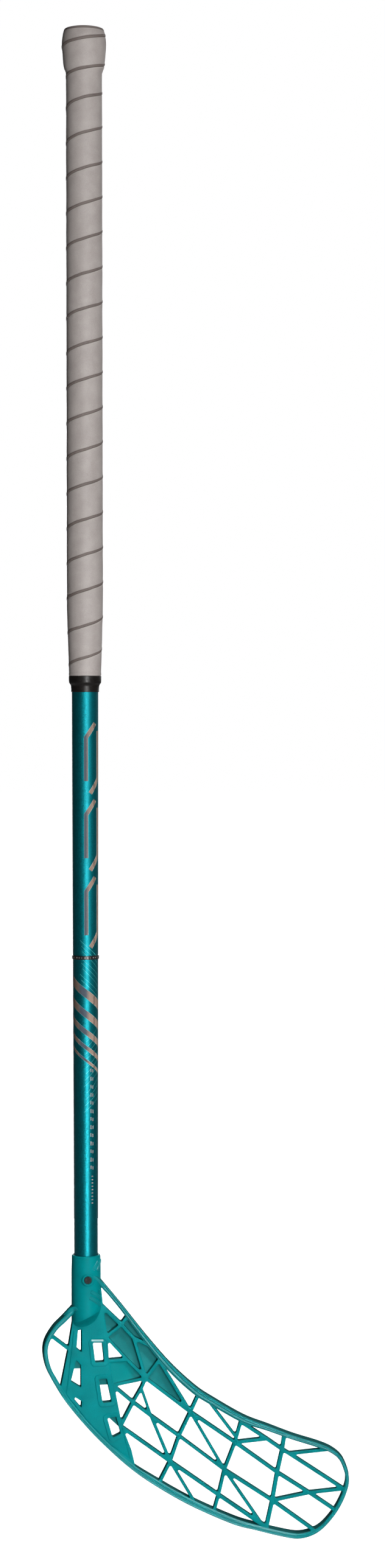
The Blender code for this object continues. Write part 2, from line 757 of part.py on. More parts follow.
def blade_zones():
    """Closed outlines of the blade, each with what it makes of the plate. Later ones count first."""
    outer, inner = smooth_outline()
    where, links = lattice_graph(inner)
    zones = [(outer, "rim"), (inner, "rib")]
    for field in fields_of(where, links):
        named = {n for n in field if not n.startswith("rim ")}
        if named == HEEL_PLATE:
            continue
        kind = "panel" if named in PANELS else "hole"
        zones.append((rounded(opening_of(field, where, links), CORNER_RADIUS), kind))
    for corners, ledge in SLOTS:
        zones += opening_zones(corners, ledge, CORNER_RADIUS / 2)
    for corners, ledge in FRAMED_OPENINGS:
        border = [(p, True) for p in grown([flat_point(c) for c in corners], FRAME_BORDER)]
        zones.append((rounded(border, FRAME_BORDER), "frame"))
        zones += opening_zones(corners, ledge, CORNER_RADIUS)
    return zones


def rib_thickness(x):
    toe = max(p[0] for p in OUTLINE) * MM
    return between(x, 0, toe, RIB_THICKNESS_HEEL, RIB_THICKNESS_TOE)


def zone_faces(kind, x):
    """How far the front and back of a zone lie behind the blade's middle surface."""
    front = -RIM_THICKNESS / 2
    if kind == "rim":
        return front, -front
    front += RIB_RECESS
    back = front + rib_thickness(x)
    if kind == "panel":
        return back - PANEL_THICKNESS, back
    if kind == "frame":
        return front - FRAME_HEIGHT, back
    if kind == "ledge":
        return front + LEDGE_SINK, back
    return front, back


def bend(x, down, behind):
    """A point of the flat drawing on the bent blade, some way behind its middle surface."""
    slope = BLADE_YAW - x / BLADE_CURVE_RADIUS
    middle = BLADE_YAW * x - x * x / (2 * BLADE_CURVE_RADIUS)
    angle = math.atan(slope)
    return Vector((x - behind * math.sin(angle), middle + behind * math.cos(angle), -MOUTH_DEPTH - down))


def make_blade_lattice():
    """The rim, ribs, panels and heel plate as one closed mesh, from a triangulated drawing with a thickness
    in each zone and upright walls where two zones meet."""
    zones = blade_zones()
    drawn = []
    edges = []
    for outline, _ in zones:
        start = len(drawn)
        drawn += [p / MM for p in outline]
        edges += [(start + i, start + (i + 1) % len(outline)) for i in range(len(outline))]
    flat, _, triangles, *_ = delaunay_2d_cdt(drawn, edges, [], 0, 1e-4)
    flat = [p * MM for p in flat]

    def kind_at(p):
        found = None
        for outline, kind in zones:
            if inside(p, outline):
                found = None if kind == "hole" else kind
        return found

    kinds = [kind_at(sum((flat[i] for i in t), Vector((0, 0))) / 3) for t in triangles]
    levels = {}
    for t, kind in zip(triangles, kinds):
        if kind:
            for i in t:
                levels.setdefault(i, set()).update(round(v, 7) for v in zone_faces(kind, flat[i].x))
    points = []
    index = {}

    def point(i, level):
        key = (i, round(level, 7))
        if key not in index:
            index[key] = len(points)
            points.append(bend(flat[i].x, flat[i].y, level))
        return index[key]

    faces = []
    beside = {}
    for t, kind in zip(triangles, kinds):
        if not kind:
            continue
        faces.append(tuple(point(i, zone_faces(kind, flat[i].x)[0]) for i in t))
        faces.append(tuple(point(i, zone_faces(kind, flat[i].x)[1]) for i in reversed(t)))
        for a, b in zip(t, t[1:] + t[:1]):
            beside[(a, b)] = kind

    def column(i, top, bottom):
        """The vertices up an edge's end, from one level to another, through all levels between."""
        between_levels = sorted(v for v in levels[i] if min(top, bottom) < v < max(top, bottom))
        if top > bottom:
            between_levels.reverse()
        return [point(i, v) for v in [top, *between_levels, bottom]]

    def wall(a, b, from_a, to_a, from_b, to_b):
        loop = column(a, from_a, to_a) + column(b, to_b, from_b)
        clean = [v for k, v in enumerate(loop) if v != loop[k - 1]]
        if len(clean) > 2:
            faces.append(tuple(clean))

    for (a, b), kind in beside.items():
        other = beside.get((b, a))
        front_a, back_a = (round(v, 7) for v in zone_faces(kind, flat[a].x))
        front_b, back_b = (round(v, 7) for v in zone_faces(kind, flat[b].x))
        if other is None:
            wall(a, b, front_a, back_a, front_b, back_b)
        elif other != kind:
            other_a = [round(v, 7) for v in zone_faces(other, flat[a].x)]
            other_b = [round(v, 7) for v in zone_faces(other, flat[b].x)]
            if front_a < other_a[0]:
                wall(a, b, front_a, other_a[0], front_b, other_b[0])
            if back_a > other_a[1]:
                wall(a, b, other_a[1], back_a, other_b[1], back_b)
    return add_object("blade", points, faces, "blade_plastic", 25)


# The socket and its screw


def screw_frame(distance):
    """Places a piece turned about Z on the screw's axis, pointing out of the blade's front."""
    out = Vector((math.sin(math.atan(BLADE_YAW)), -math.cos(math.atan(BLADE_YAW)), 0))
    turn = out.to_track_quat("Z", "Y").to_matrix().to_4x4()
    place = Vector((0, 0, -MOUTH_DEPTH - SCREW_DOWN)) + out * distance
    return Matrix.Translation(place) @ turn


def make_socket_body():
    """The socket's outside: round, then pressed flat in depth towards its foot, where it runs into the plate."""
    stations = (
        (0.0, 0.0, SOCKET_MOUTH_RADIUS - SOCKET_LIP / 2, 1.0),
        (SOCKET_LIP / 2, 0.0, SOCKET_MOUTH_RADIUS, 1.0),
        (SOCKET_SWELL_DOWN, 0.0, SOCKET_RADIUS, 1.0),
        (SOCKET_ROUND_DOWN, SOCKET_ROUND_TILT, SOCKET_RADIUS, 1.0),
        (SOCKET_FOOT_DOWN, SOCKET_FOOT_TILT, SOCKET_RADIUS * SOCKET_FOOT_NARROW, SOCKET_FOOT_SQUASH),
    )
    points = []
    faces = []
    yaw = Matrix.Rotation(math.atan(BLADE_YAW), 4, "Z")
    for down, tilt, radius, squash in stations:
        ring = ring_points(radius, -MOUTH_DEPTH - down)
        points += [yaw @ Vector((p.x, p.y * squash, p.z + p.x * tilt)) for p in ring]
    for i in range(len(stations) - 1):
        faces += bridge((i + 1) * ROUND_STEPS, i * ROUND_STEPS, ROUND_STEPS)
    last = (len(stations) - 1) * ROUND_STEPS
    faces.append(tuple(range(ROUND_STEPS)))
    faces.append(tuple(reversed(range(last, last + ROUND_STEPS))))
    return add_object("socket_body", points, faces, "blade_plastic")


def plain_cylinder(name, radius, low, high, matrix, steps=ROUND_STEPS):
    points, faces = turned_solid([(0, high), (radius, high), (radius, low), (0, low)], steps)
    return add_object(name, placed(points, matrix), faces, "blade_plastic")


def make_blade():
    blade = make_blade_lattice()
    add_boolean(blade, "UNION", make_socket_body())
    top = SOCKET_RADIUS + BOSS_HEIGHT
    low = BORE_RADIUS / 2
    boss_profile = [(0, top), (BOSS_TOP_RADIUS, top), (BOSS_RADIUS, top - 2 * BOSS_HEIGHT), (BOSS_RADIUS, low), (0, low)]
    points, faces = turned_solid(boss_profile, 32)
    boss = add_object("boss_body", placed(points, screw_frame(0)), faces, "blade_plastic")
    add_boolean(blade, "UNION", boss)
    mouth = Matrix.Translation(Vector((0, 0, -MOUTH_DEPTH)))
    bore_depth = SHAFT_IN_SOCKET + CLEARANCE
    bore = plain_cylinder("bore_cutter", BORE_RADIUS, -bore_depth, SOCKET_LIP, mouth)
    add_boolean(blade, "DIFFERENCE", bore)
    head_bore = SCREW_HEAD_RADIUS + BOSS_BORE_CLEARANCE
    pocket = plain_cylinder("head_pocket_cutter", head_bore, SCREW_SEAT, 2 * top, screw_frame(0), 32)
    add_boolean(blade, "DIFFERENCE", pocket)
    add_boolean(blade, "DIFFERENCE", screw_hole_cutter("socket_hole_cutter"))
    return blade


def screw_hole_cutter(name):
    radius = SCREW_SHANK_RADIUS + CLEARANCE
    return plain_cylinder(name, radius, 0, SOCKET_RADIUS, screw_frame(0), 24)


def make_blade_screw():
    """Pan head with a cross recess, on a plain shank with a tapered tip."""
    under = SCREW_SEAT + CLEARANCE
    top = under + SCREW_HEAD_HEIGHT
    edge = 0.35 * SCREW_HEAD_HEIGHT
    tip = under - SCREW_LENGTH
    profile = [
        (0, top),
        (SCREW_HEAD_RADIUS - edge, top),
        (SCREW_HEAD_RADIUS, top - edge),
        (SCREW_HEAD_RADIUS, under),
        (SCREW_SHANK_RADIUS, under),
        (SCREW_SHANK_RADIUS, tip + SCREW_SHANK_RADIUS),
        (SCREW_SHANK_RADIUS / 3, tip),
        (0, tip),
    ]
    points, faces = turned_solid(profile, 24)
    screw = add_object("blade_screw", placed(points, screw_frame(0)), faces, "black_screw")
    reach = 0.62 * SCREW_HEAD_RADIUS
    half = SCREW_RECESS_WIDTH / 2
    arms = [(-reach, -half), (-half, -half), (-half, -reach), (half, -reach), (half, -half), (reach, -half)]
    cross_points = arms + [(-x, -y) for x, y in arms]
    ring = [Vector((x, y, top - SCREW_RECESS_DEPTH)) for x, y in cross_points]
    ring += [Vector((x, y, top + SCREW_RECESS_DEPTH)) for x, y in cross_points]
    count = len(cross_points)
    faces = bridge(0, count, count)
    faces += [tuple(reversed(range(count))), tuple(range(count, 2 * count))]
    recess = add_object("recess_cutter", placed(ring, screw_frame(0)), faces, "black_screw")
    add_boolean(screw, "DIFFERENCE", recess)
    return screw


def main():
    clear_scene()
    shaft = make_shaft()
    add_boolean(shaft, "DIFFERENCE", screw_hole_cutter("shaft_hole_cutter"))
    make_end_cap()
    make_grip_underlay()
    make_grip_tape()
    make_grip_end_band()
    make_marking_ring()
    make_blade()
    make_blade_screw()


main()
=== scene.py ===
"""Looks of the floorball stick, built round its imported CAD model.

Metres, +Z up along the shaft, with the origin in the middle of the butt face. The toe points to +X and the
hollow side of the blade faces -Y. "Depth" is a distance down from the butt face, and "down" a distance below
the mouth of the blade's socket.
"""

from math import atan, atan2, ceil, cos, hypot, pi, radians, sin, tan

import bpy
import numpy as np
from mathutils import Matrix, Vector
from mathutils.geometry import delaunay_2d_cdt
from mathutils.kdtree import KDTree


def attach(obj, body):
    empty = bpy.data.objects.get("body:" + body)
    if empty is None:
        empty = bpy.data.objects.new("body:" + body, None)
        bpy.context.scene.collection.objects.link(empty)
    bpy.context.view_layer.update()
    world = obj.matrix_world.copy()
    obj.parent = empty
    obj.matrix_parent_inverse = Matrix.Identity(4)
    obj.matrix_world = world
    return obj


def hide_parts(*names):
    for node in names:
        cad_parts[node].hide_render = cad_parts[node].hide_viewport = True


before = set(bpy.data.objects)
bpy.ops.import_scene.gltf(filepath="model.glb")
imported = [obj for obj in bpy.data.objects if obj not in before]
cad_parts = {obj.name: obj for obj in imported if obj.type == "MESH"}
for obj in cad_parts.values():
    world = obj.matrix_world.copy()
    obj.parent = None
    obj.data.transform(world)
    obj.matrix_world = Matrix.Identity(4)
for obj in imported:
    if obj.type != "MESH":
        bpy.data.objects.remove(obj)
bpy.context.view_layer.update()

MM = 0.001

# Shaft and grip, as in the CAD model
SHAFT_TOP_DEPTH = 3.5 * MM
SHAFT_FOOT_DEPTH = 1003.5 * MM
SHAFT_WALL = 1.5 * MM
SHAFT_GRIP_RADIUS = 11.6 * MM
SHAFT_NECK_RADIUS = 10.33 * MM
SHAFT_TIP_RADIUS = 9.3 * MM
CONE_TOP_DEPTH = 453.5 * MM
CONE_FOOT_DEPTH = 520 * MM
CONE_EASE = 3 * MM
MOUTH_DEPTH = 958.2 * MM
GRIP_LENGTH = 506 * MM
STRIP_BORE_GAP = 0.6 * MM
UNDERLAY_THICKNESS = 0.7 * MM
STRIP_THICKNESS = 1.15 * MM
STRIP_STRETCH = 0.67
STRIP_TOP_TRIM = 0.5 * MM
STRIP_PITCH = 27.37 * MM
STRIP_KNOB_PITCH = 22.9 * MM
STRIP_TAIL_PITCH = 24.8 * MM
STRIP_KNOB_TURNS = 2
STRIP_KNOB_TILT = 1.0 * MM
STRIP_TAIL_LENGTH = 39.3 * MM
STRIP_FIRST_SEAM_DEPTH = 10.5 * MM
# How far the cap under the strip bulges, as (depth, out) in millimetres
KNOB_BULGE = ((0, 0.8), (1.5, 1.6), (5, 2.5), (11.5, 3.25), (18.5, 2.85), (30.5, 1.65), (34.5, 0))
# The strip's outer face beside its two edges: (distance from the edge, height over the face), in millimetres.
# Its lower edge is skived, and lies over the turn below as a low ridge.
UPPER_EDGE = ((0.08, -0.9), (0.1, -0.4), (0.22, -0.14), (0.5, -0.02), (1.0, 0.02), (1.6, 0.0))
LOWER_EDGE = (
    (-2.9, 0.0), (-2.45, 0.01), (-2.2, 0.05), (-2.08, 0.2), (-1.9, 0.26), (-1.4, 0.27), (-0.8, 0.25),
    (-0.35, 0.18), (-0.1, 0.02), (0.0, -0.2), (0.0, -0.9),
)
SEAM_BELOW_GROOVE = 1.0 * MM
SEAM_WIDTH = 2.1 * MM
# Where the upper edge gets a paler look, a painted highlight, in millimetres from the edge
PAINTED_HIGHLIGHT_EDGE = (0.1, 0.4)
# How a strip laid by hand wanders and how its face swells: (millimetres, rate per turn, shift or rate across)
STRIP_WANDER = ((0.16, 5.3, 0), (0.12, 13.7, 1.1), (0.07, 41, 0))
STRIP_SWELL = ((0.05, 9.1, 3), (0.04, 23, -5))
STRIP_MOST_TURNS = 60
STRIP_STEPS = 72
STRIP_FACE_STEPS = 8
STRIP_INNER_STEPS = 5
STRIP_BLUNT_END = 3.5 * MM

# Blade, as in the CAD model
BLADE_YAW = 0.16
BLADE_TURN = atan(BLADE_YAW)
BLADE_CURVE_RADIUS = 1111 * MM
RIM_THICKNESS = 11.5 * MM
RIB_RECESS = 1.5 * MM
RIB_THICKNESS_HEEL = 7.2 * MM
RIB_THICKNESS_TOE = 4.8 * MM
PANEL_THICKNESS = 1.8 * MM
FRAME_HEIGHT = 0.6 * MM
FRAME_BORDER = 3.4 * MM
LEDGE_SINK = 3.5 * MM
CORNER_RADIUS = 1.0 * MM
# The rim's outer edge from the socket round the toe to the heel: (x, down, width of the rim) in millimetres
OUTLINE = (
    (12.5, 21, 3.6), (28.3, 40.8, 3.4), (47.2, 65.3, 4.2), (66.2, 87.8, 5.2), (85.2, 105.8, 5.4),
    (99.8, 115.9, 5.1), (123.4, 129.8, 4.9), (142.4, 137.3, 3.9), (161.8, 144.8, 3.4), (181, 150.8, 3.4),
    (192, 155.5, 2.9), (200, 162.3, 2.5), (204.8, 173, 2.7), (205.8, 180.5, 3.0), (204.3, 188, 3.1),
    (200.3, 197.8, 3.1), (194, 208, 2.9), (185, 218, 2.9), (176, 223.5, 3.5), (165, 225.7, 3.7),
    (151.5, 223.5, 3.7), (132.5, 218.7, 3.8), (113, 213.2, 4.5), (79.5, 197.7, 4.7), (51, 180.5, 4.5),
    (31.7, 166, 3.3), (12.6, 148, 3.0), (-1.8, 132.4, 3.0), (-15.8, 114.8, 3.2), (-24.7, 100.7, 3.6),
    (-31, 88, 3.4), (-33.5, 75.5, 3.2), (-32, 65.5, 3.3), (-25.8, 55.3, 3.5), (-18.8, 48.3, 3.9),
    (-10.5, 39.7, 4.1),
)
OUTLINE_ROOT = ((-3, 31.5), (5, 11.5))
# Places (x, down) where ribs meet the rim, and where they meet each other
RIM_POINTS = {
    "throat": (11.5, 22), "top1": (33, 48.5), "top2": (48.5, 69.5), "top3": (58.5, 82.5),
    "top4": (89, 110), "top5": (99.5, 118.5), "top6": (121, 133), "top7": (156, 142.5),
    "top8": (187, 155.5), "toe1": (201.5, 187), "toe2": (194.5, 203.5), "low1": (177.5, 219),
    "low2": (140.5, 217.5), "low3": (98, 206), "low4": (82, 196), "low5": (56.5, 180),
    "low6": (37, 164), "low7": (-18, 102.5), "heel1": (-28.5, 61.5), "heel2": (-10.5, 41.5),
}
KNOTS = {
    "plate1": (-13.3, 73.5), "spine1": (11.5, 40), "spine2": (15, 64.3), "spine3": (16, 83.5),
    "spine4": (20, 102.5), "spine5": (26.3, 135), "spine6": (33.5, 154),
    "a1": (27, 55.5), "a2": (36.5, 66), "a3": (31.3, 82.7),
    "b1": (46, 98), "b2": (42.5, 105.5), "b3": (36, 116.5), "b4": (50, 127.5), "b5": (65, 163.8),
    "c1": (81, 125.5), "c2": (72, 144), "d1": (116, 150), "d2": (107.6, 171.4), "d3": (103, 191),
    "e1": (141, 147.5), "e2": (153.2, 156), "e3": (149.2, 174), "e4": (145.3, 196), "f1": (158.7, 159.3),
    "f2": (174.3, 190), "g2": (137, 214.5),
}
KNOTS_ON_RIBS = {"g1": ("d1", "top6", 0.235)}
RIB_WIDTH = 2.5
THIN_RIB_WIDTH = 2.1
WIDE_RIB_WIDTH = 3.1
# Each run of ribs goes straight from knot to knot
RIBS = (
    "heel2 plate1 low7", "heel1 plate1", "throat spine1 spine2 spine3 spine4 spine5 spine6 low6",
    "top1 a1 spine2", "a1 a2 top2", "a2 b1", "spine3 a3 b1", "b1 top3", "b1 c1 top3", "spine4 b1",
    "spine4 b3 b4", "b2 b1", "b3 spine5 b5", "c2 b4 b5", "c1 c2 b5", "c1 top4", "c1 d1 g1 top6 e1",
    "d1 e1 e2 f1 top8", "f1 toe1", "d1 e3 f2 toe1", "d2 e4 f2 toe2", "e4 low1", "d1 d2 d3 low3", "d3 g2",
    "d3 b5 low5",
)
THIN_RIBS = ("spine2 a3", "b3 b2 b4", "c2 d2 g2", "c1 d2", "g1 top5", "b5 low4")
WIDE_RIBS = ("spine1 a1", "top7 e2 e3 e4 low2 g2")
RAMP_PANEL = {"spine3", "a3", "b1", "spine4"}
PANELS = (
    {"spine1", "a1", "spine2"},
    {"a1", "a2", "b1", "a3", "spine2"},
    {"a1", "top1", "top2", "a2"},
    {"a2", "top2", "top3", "b1"},
    {"b1", "top3", "c1"},
    RAMP_PANEL,
)
HEEL_PLATE = {
    "heel2", "plate1", "low7", "low6", "spine6", "spine5", "spine4", "spine3", "spine2", "spine1", "throat",
}
# Openings in the heel plate, plain and framed: corners, and the lower edge of a sunk ledge or nothing
SLOTS = (
    (((-6.8, 58), (-4, 58), (-4, 75.8), (-8, 72.3)), ()),
    (((-8.2, 81.5), (-4.5, 86), (-4.5, 103.2), (-12.4, 98)), ((-13, 89), (-3, 89))),
    (((-9.3, 110.5), (-4, 114), (-4.3, 119.2), (-9.6, 112.8)), ()),
)
SLOT_CORNER_RADIUS = 0.5 * MM
FRAMED_OPENINGS = (
    (((4.6, 68.5), (12, 68.8), (13.5, 83.8), (6.5, 84)), ()),
    (((9.3, 97), (15.3, 97), (19.3, 115.3), (12.2, 115.7)), ((8, 102.5), (20, 102.5))),
    (((15.8, 128), (22.6, 127), (26.2, 140.3), (20, 143.3)), ((17, 128), (24.3, 135))),
)

# The blade's finer surface: rounded edges, beads along the rim, flared rib ends and shallow moulding marks
OUTLINE_STEP = 2.5 * MM
FIELD_STEP = 7 * MM
SLOT_STEP = 5 * MM
FRAME_STEP = 4 * MM
FEATURE_STEP = 2 * MM
GRID = 4 * MM
GRID_SQUASH = 0.9
GRID_CLEARANCE = 1.8 * MM
GRID_COLUMNS = (-8, 52)
GRID_ROWS = (4, 64)
POINTS_AT_ONCE = 400
RIM_POINT_SPACING = 0.3
# Corners get no arc if a side is shorter than this or half their angle is wider. Ribs whose directions have
# a smaller cross product go straight on, and a corner that moves out isn't drawn out past the last limit.
SAME_PLACE = 1e-6
BLUNTEST_CORNER = radians(80)
STRAIGHT_ON = 0.1
MITRE_LIMIT = 0.6
# Share of a side that an arc may take up, where the side ends at a plain point and at another corner
ARC_REACH = (0.9, 0.45)
EDGE_ROUND = 0.45 * MM
EDGE_STEPS = 3
FLARE_LENGTH = 1.6 * MM
FRAME_SLOPE = 0.35 * MM
PANEL_FILLET = 0.3 * MM
PANEL_FILLET_REACH = 0.5 * MM
# The ramp's face sinks from the ribs' to the panels' along x
RAMP_START = 0.9 * MM
RAMP_X = (17 * MM, 43 * MM)
# Height of the rim over the ribs, in millimetres, at shares of its width from its outer edge
RIM_SHARES = (0, 0.16, 0.3, 0.4, 0.5, 0.6, 0.72, 0.84, 1)
RIM_TOP = (0.35, 1.2, 1.5, 1.05, 1.0, 1.12, 1.05, 0.12, 0)
RIM_LOW = (1.5, 1.5, 1.38, 0.5, 0.48, 0.72, 0.2, 0.02, 0)
RIM_ROUND = (0.7, 1.15, 1.42, 1.5, 1.5, 1.46, 1.3, 1.0, 0.6)
# Number of the look on each kind of surface. Walls get a dark look that is painted shade, and panels and
# ledges a darker one that is partly painted shade.
LOOK_OF = {"rim": 4, "rib": 0, "panel": 1, "ramp": 2, "ledge": 1, "wall": 3}
# Where along the edge, as a share of its length, the top, toe, lower and heel shapes follow each other
RIM_TURNS = (0.37, 0.5, 0.87)
RIM_TURN = 0.06
ENGRAVED_LINES = (
    ((-10.4, 59.2), (-11.4, 69.6), (-16.0, 107.5), (-15.0, 109.4), (0.7, 130), (17.7, 148.1)),
    ((19.2, 149.5), (33.2, 160), (27.2, 135.5)),
)
ENGRAVED_HALF_WIDTH = 0.36 * MM
ENGRAVED_DEPTH = 0.45 * MM
EJECTOR_KNOTS = ("c1", "d1", "d2", "e4", "f2")
EJECTOR_PLACES = ((9.8, 60.9),)
EJECTOR_RADIUS = 1.55 * MM
EJECTOR_LINE = 0.2 * MM
EJECTOR_DEPTH = 0.14 * MM

# Socket, as in the CAD model
SOCKET_RADIUS = 11.55 * MM
BORE_RADIUS = 9.6 * MM
BORE_DEPTH = 45.6 * MM
SCREW_DOWN = 18.1 * MM
SOCKET_MOUTH_RADIUS = 11.2 * MM
SOCKET_LIP = 0.9 * MM
SOCKET_SWELL_DOWN = 16 * MM
SOCKET_ROUND_DOWN = 47.2 * MM
SOCKET_ROUND_TILT = 0.47
SOCKET_FOOT_DOWN = 57 * MM
SOCKET_FOOT_TILT = 0.26
SOCKET_FOOT_SQUASH = 0.36
SOCKET_FOOT_NARROW = 0.88
SOCKET_CREASE = 0.06
SOCKET_FOOT_FINENESS = 1.3
SOCKET_FOOT_ROUNDING = 1.5
SOCKET_STEP = 0.34 * MM
SOCKET_ANGLES = 216
LIP_STEPS = 6
BORE_CHAMFER = 0.3 * MM
BOSS_FOOT_RADIUS = 5.1 * MM
BOSS_TOP_RADIUS = 3.9 * MM
BOSS_POCKET_RADIUS = 3.15 * MM
BOSS_HEIGHT = 0.7 * MM
BOSS_LIP = 0.5 * MM
BOSS_FLOOR = 0.6
# Raised bars on the socket, as (path of (arc from the front, down), half width)
RAISED_BARS = (
    (((4.4, 10.4), (9.2, 4.4)), 1.35),
    (((8.6, 11.2), (14.6, 3.8)), 1.35),
    (((2.6, 27.0), (15.4, 35.4)), 1.45),
    (((1.6, 31.6), (15.0, 40.4)), 1.45),
    (((9.6, 27.0), (16.4, 31.4)), 1.45),
)
RAISED_BAR_HEIGHT = 0.55 * MM
RAISED_BAR_SLOPE = 0.5
# Rims running into the socket, along stations of (x, front face, down, half width) in millimetres
RUN_IN_BARS = (
    ((-17.0, -5.0, 47.2, 1.3), (-14.2, -7.4, 44.6, 1.8), (-11.6, -8.0, 42.4, 2.05), (-9.4, -8.2, 41.3, 2.05),
     (-7.4, -9.3, 41.0, 2.0), (-5.4, -10.15, 41.2, 1.9)),
    ((19.0, 0.2, 31.6, 1.2), (16.4, -2.2, 28.5, 1.6), (13.9, -3.3, 25.3, 1.8), (11.7, -4.6, 22.4, 1.85),
     (9.6, -6.8, 19.8, 1.9), (7.6, -9.1, 17.4, 1.8), (5.6, -10.2, 15.9, 1.5)),
)
RUN_IN_STEPS = 6
RUN_IN_DOME = 0.8
RUN_IN_DEPTH = 5.5 * MM
# Small white accent on the first frame
ACCENT = ((3.4, 65.9), (12.6, 66.2), (12.8, 67.6), (3.7, 67.3))
ACCENT_LIFT = 0.05 * MM

# Screw, as in the CAD model
SCREW_SEAT = 10.6 * MM
SCREW_HEAD_RADIUS = 2.9 * MM
SCREW_HEAD_HEIGHT = 1.3 * MM
SCREW_SHANK_RADIUS = 1.45 * MM
SCREW_LENGTH = 9.0 * MM
SCREW_RECESS_DEPTH = 0.7 * MM
SCREW_DOME = 0.12 * MM
SCREW_GAP = 0.3 * MM
SCREW_STEPS = 72
CUT_REACH = 20 * MM

# Cap, band and ring, as in the CAD model
CAP_RADIUS = 13.5 * MM
CAP_DISH = 0.5 * MM
CAP_UNDER_STRIP = 0.45 * MM
CAP_TUBE_GAP = 0.3 * MM
BAND_TOP = GRIP_LENGTH - 0.36 * MM
BAND_PROFILE = (
    (0.34, 1.2), (0.3, 1.6), (0.38, 1.95), (0.7, 2.1), (2.5, 2.14), (4.6, 2.12), (5.5, 2.02), (6.2, 1.75),
    (6.9, 1.25), (7.5, 0.86), (8.3, 0.64), (9.3, 0.56), (12.0, 0.5), (12.6, 0.58), (12.9, 0.54), (13.0, 0.4),
)
BAND_TILT = 0.12 * MM
BAND_LAP = 0.22 * MM
BAND_END_ANGLE = 0.55
BAND_INNER_GAP = 0.32 * MM
RING_DEPTH = 724.2 * MM
RING_HEIGHT = 2.9 * MM
RING_OUT = 0.6 * MM

# Ribbons of foil and print: steps along them, and parts across them in millimetres
RIBBON_STEP = 1.2 * MM
RIBBON_PART = 0.9
RIBBON_SINK = 0.02 * MM
RIBBON_MITRE_LIMIT = 0.5


# Shared shapes


def clamp(x, low=0, high=1):
    return min(max(x, low), high)


def mix(a, b, t):
    return a + (b - a) * t


def between(x, x0, x1, y0, y1):
    """A ramp from y0 at x0 to y1 at x1, level before and after, read at x."""
    return mix(y0, y1, clamp((x - x0) / (x1 - x0)))


def smooth_value(table, x):
    """A smooth curve through the (x, y) points of a table, read at x."""
    xs, ys = zip(*table)
    x = clamp(x, xs[0], xs[-1])
    last = len(xs) - 1
    i = max(k for k in range(last) if xs[k] <= x)
    slopes = []
    for k in (i, i + 1):
        low, high = max(k - 1, 0), min(k + 1, last)
        slopes.append((ys[high] - ys[low]) / (xs[high] - xs[low]))
    width = xs[i + 1] - xs[i]
    t = (x - xs[i]) / width
    return (
        (2 * t**3 - 3 * t**2 + 1) * ys[i]
        + (t**3 - 2 * t**2 + t) * width * slopes[0]
        + (3 * t**2 - 2 * t**3) * ys[i + 1]
        + (t**3 - t**2) * width * slopes[1]
    )


def shaft_radius(depth):
    if depth < CONE_FOOT_DEPTH:
        return between(depth, CONE_TOP_DEPTH, CONE_FOOT_DEPTH, SHAFT_GRIP_RADIUS, SHAFT_NECK_RADIUS)
    return between(depth, CONE_FOOT_DEPTH, MOUTH_DEPTH, SHAFT_NECK_RADIUS, SHAFT_TIP_RADIUS)


def in_scene(name, data):
    obj = bpy.data.objects.new(name, data)
    bpy.context.scene.collection.objects.link(obj)
    return obj


def mesh_of(name, points, faces):
    mesh = bpy.data.meshes.new(name)
    mesh.from_pydata([tuple(p) for p in points], [], faces)
    return mesh


def add_object(name, points, faces, node, slot, looks, sharp_angle=35, marks=None):
    """A mesh object that stands in for a CAD piece. `marks` gives each face the number of its look."""
    mesh = mesh_of(name, points, faces)
    if marks:
        mesh.polygons.foreach_set("material_index", marks)
    mesh.validate()
    mesh.shade_smooth()
    mesh.set_sharp_from_angle(angle=radians(sharp_angle))
    for look in looks:
        mesh.materials.append(look)
    obj = in_scene(name, mesh)
    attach(obj, "root")
    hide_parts(node)
    return obj


def angles_of(steps):
    return [2 * pi * i / steps for i in range(steps)]


def around(radius, angle, depth, squash=1):
    """A point beside the shaft's axis, at an angle from its front."""
    return Vector((radius * sin(angle), -radius * cos(angle) * squash, -depth))


def pairs_round(items):
    """Each item with the next, and the last with the first."""
    return list(zip(items, items[1:] + items[:1]))


def tube(rows, flipped=False, ring=False):
    """Points of a tube's rows, and its faces: round it, then one over each end or, in a ring, from the last
    row to the first. A row may be a single point.
    """
    count = max(len(row) for row in rows)
    points = []
    rings = []
    for row in rows:
        rings.append([len(points) + (i if len(row) > 1 else 0) for i in range(count)])
        points += row
    faces = []
    for here, there in pairs_round(rings) if ring else zip(rings, rings[1:]):
        for i in range(count):
            j = (i + 1) % count
            side = tuple(dict.fromkeys((here[i], here[j], there[j], there[i])))
            if len(side) > 2:
                faces.append(side if flipped else (side[0], *side[:0:-1]))
    order = -1 if flipped else 1
    return points, faces if ring else faces + [rings[0][::order], rings[-1][::-order]]


def joined(meshes):
    """Several (points, faces) as one."""
    points = []
    faces = []
    for more_points, more_faces in meshes:
        faces += [tuple(i + len(points) for i in face) for face in more_faces]
        points += more_points
    return points, faces


def turned(profile, steps=96, wave=None):
    """A closed (depth, radius) profile turned round the shaft. `wave` may shift each point's two."""
    rows = []
    for depth, radius in profile:
        angles = angles_of(steps if radius > 0 else 1)
        shifted = [wave(a, depth, radius) if wave else (depth, radius) for a in angles]
        rows.append([around(r, a, d) for a, (d, r) in zip(angles, shifted)])
    return tube(rows, flipped=True, ring=True)


def smooth_path(given, steps=None):
    """A smooth run through given points, with `steps` between two of them or one about every OUTLINE_STEP."""
    path = []
    last = len(given) - 1
    for i in range(last):
        a, b, c, e = given[max(i - 1, 0)], given[i], given[i + 1], given[min(i + 2, last)]
        count = steps or max(1, round((c - b).length / OUTLINE_STEP))
        for t in (k / count for k in range(count)):
            square = 2 * a - 5 * b + 4 * c - e
            cube = 3 * b - a - 3 * c + e
            path.append(0.5 * (2 * b + (c - a) * t + square * t**2 + cube * t**3))
    return [*path, given[-1]]


# Grip: a strip wound from the cap down, with the skived lower edge of each turn over the turn below


def stretch(depth):
    """Share of its thickness that the grip keeps where it is drawn out over the cone."""
    return between(depth, CONE_TOP_DEPTH, GRIP_LENGTH, 1, STRIP_STRETCH)


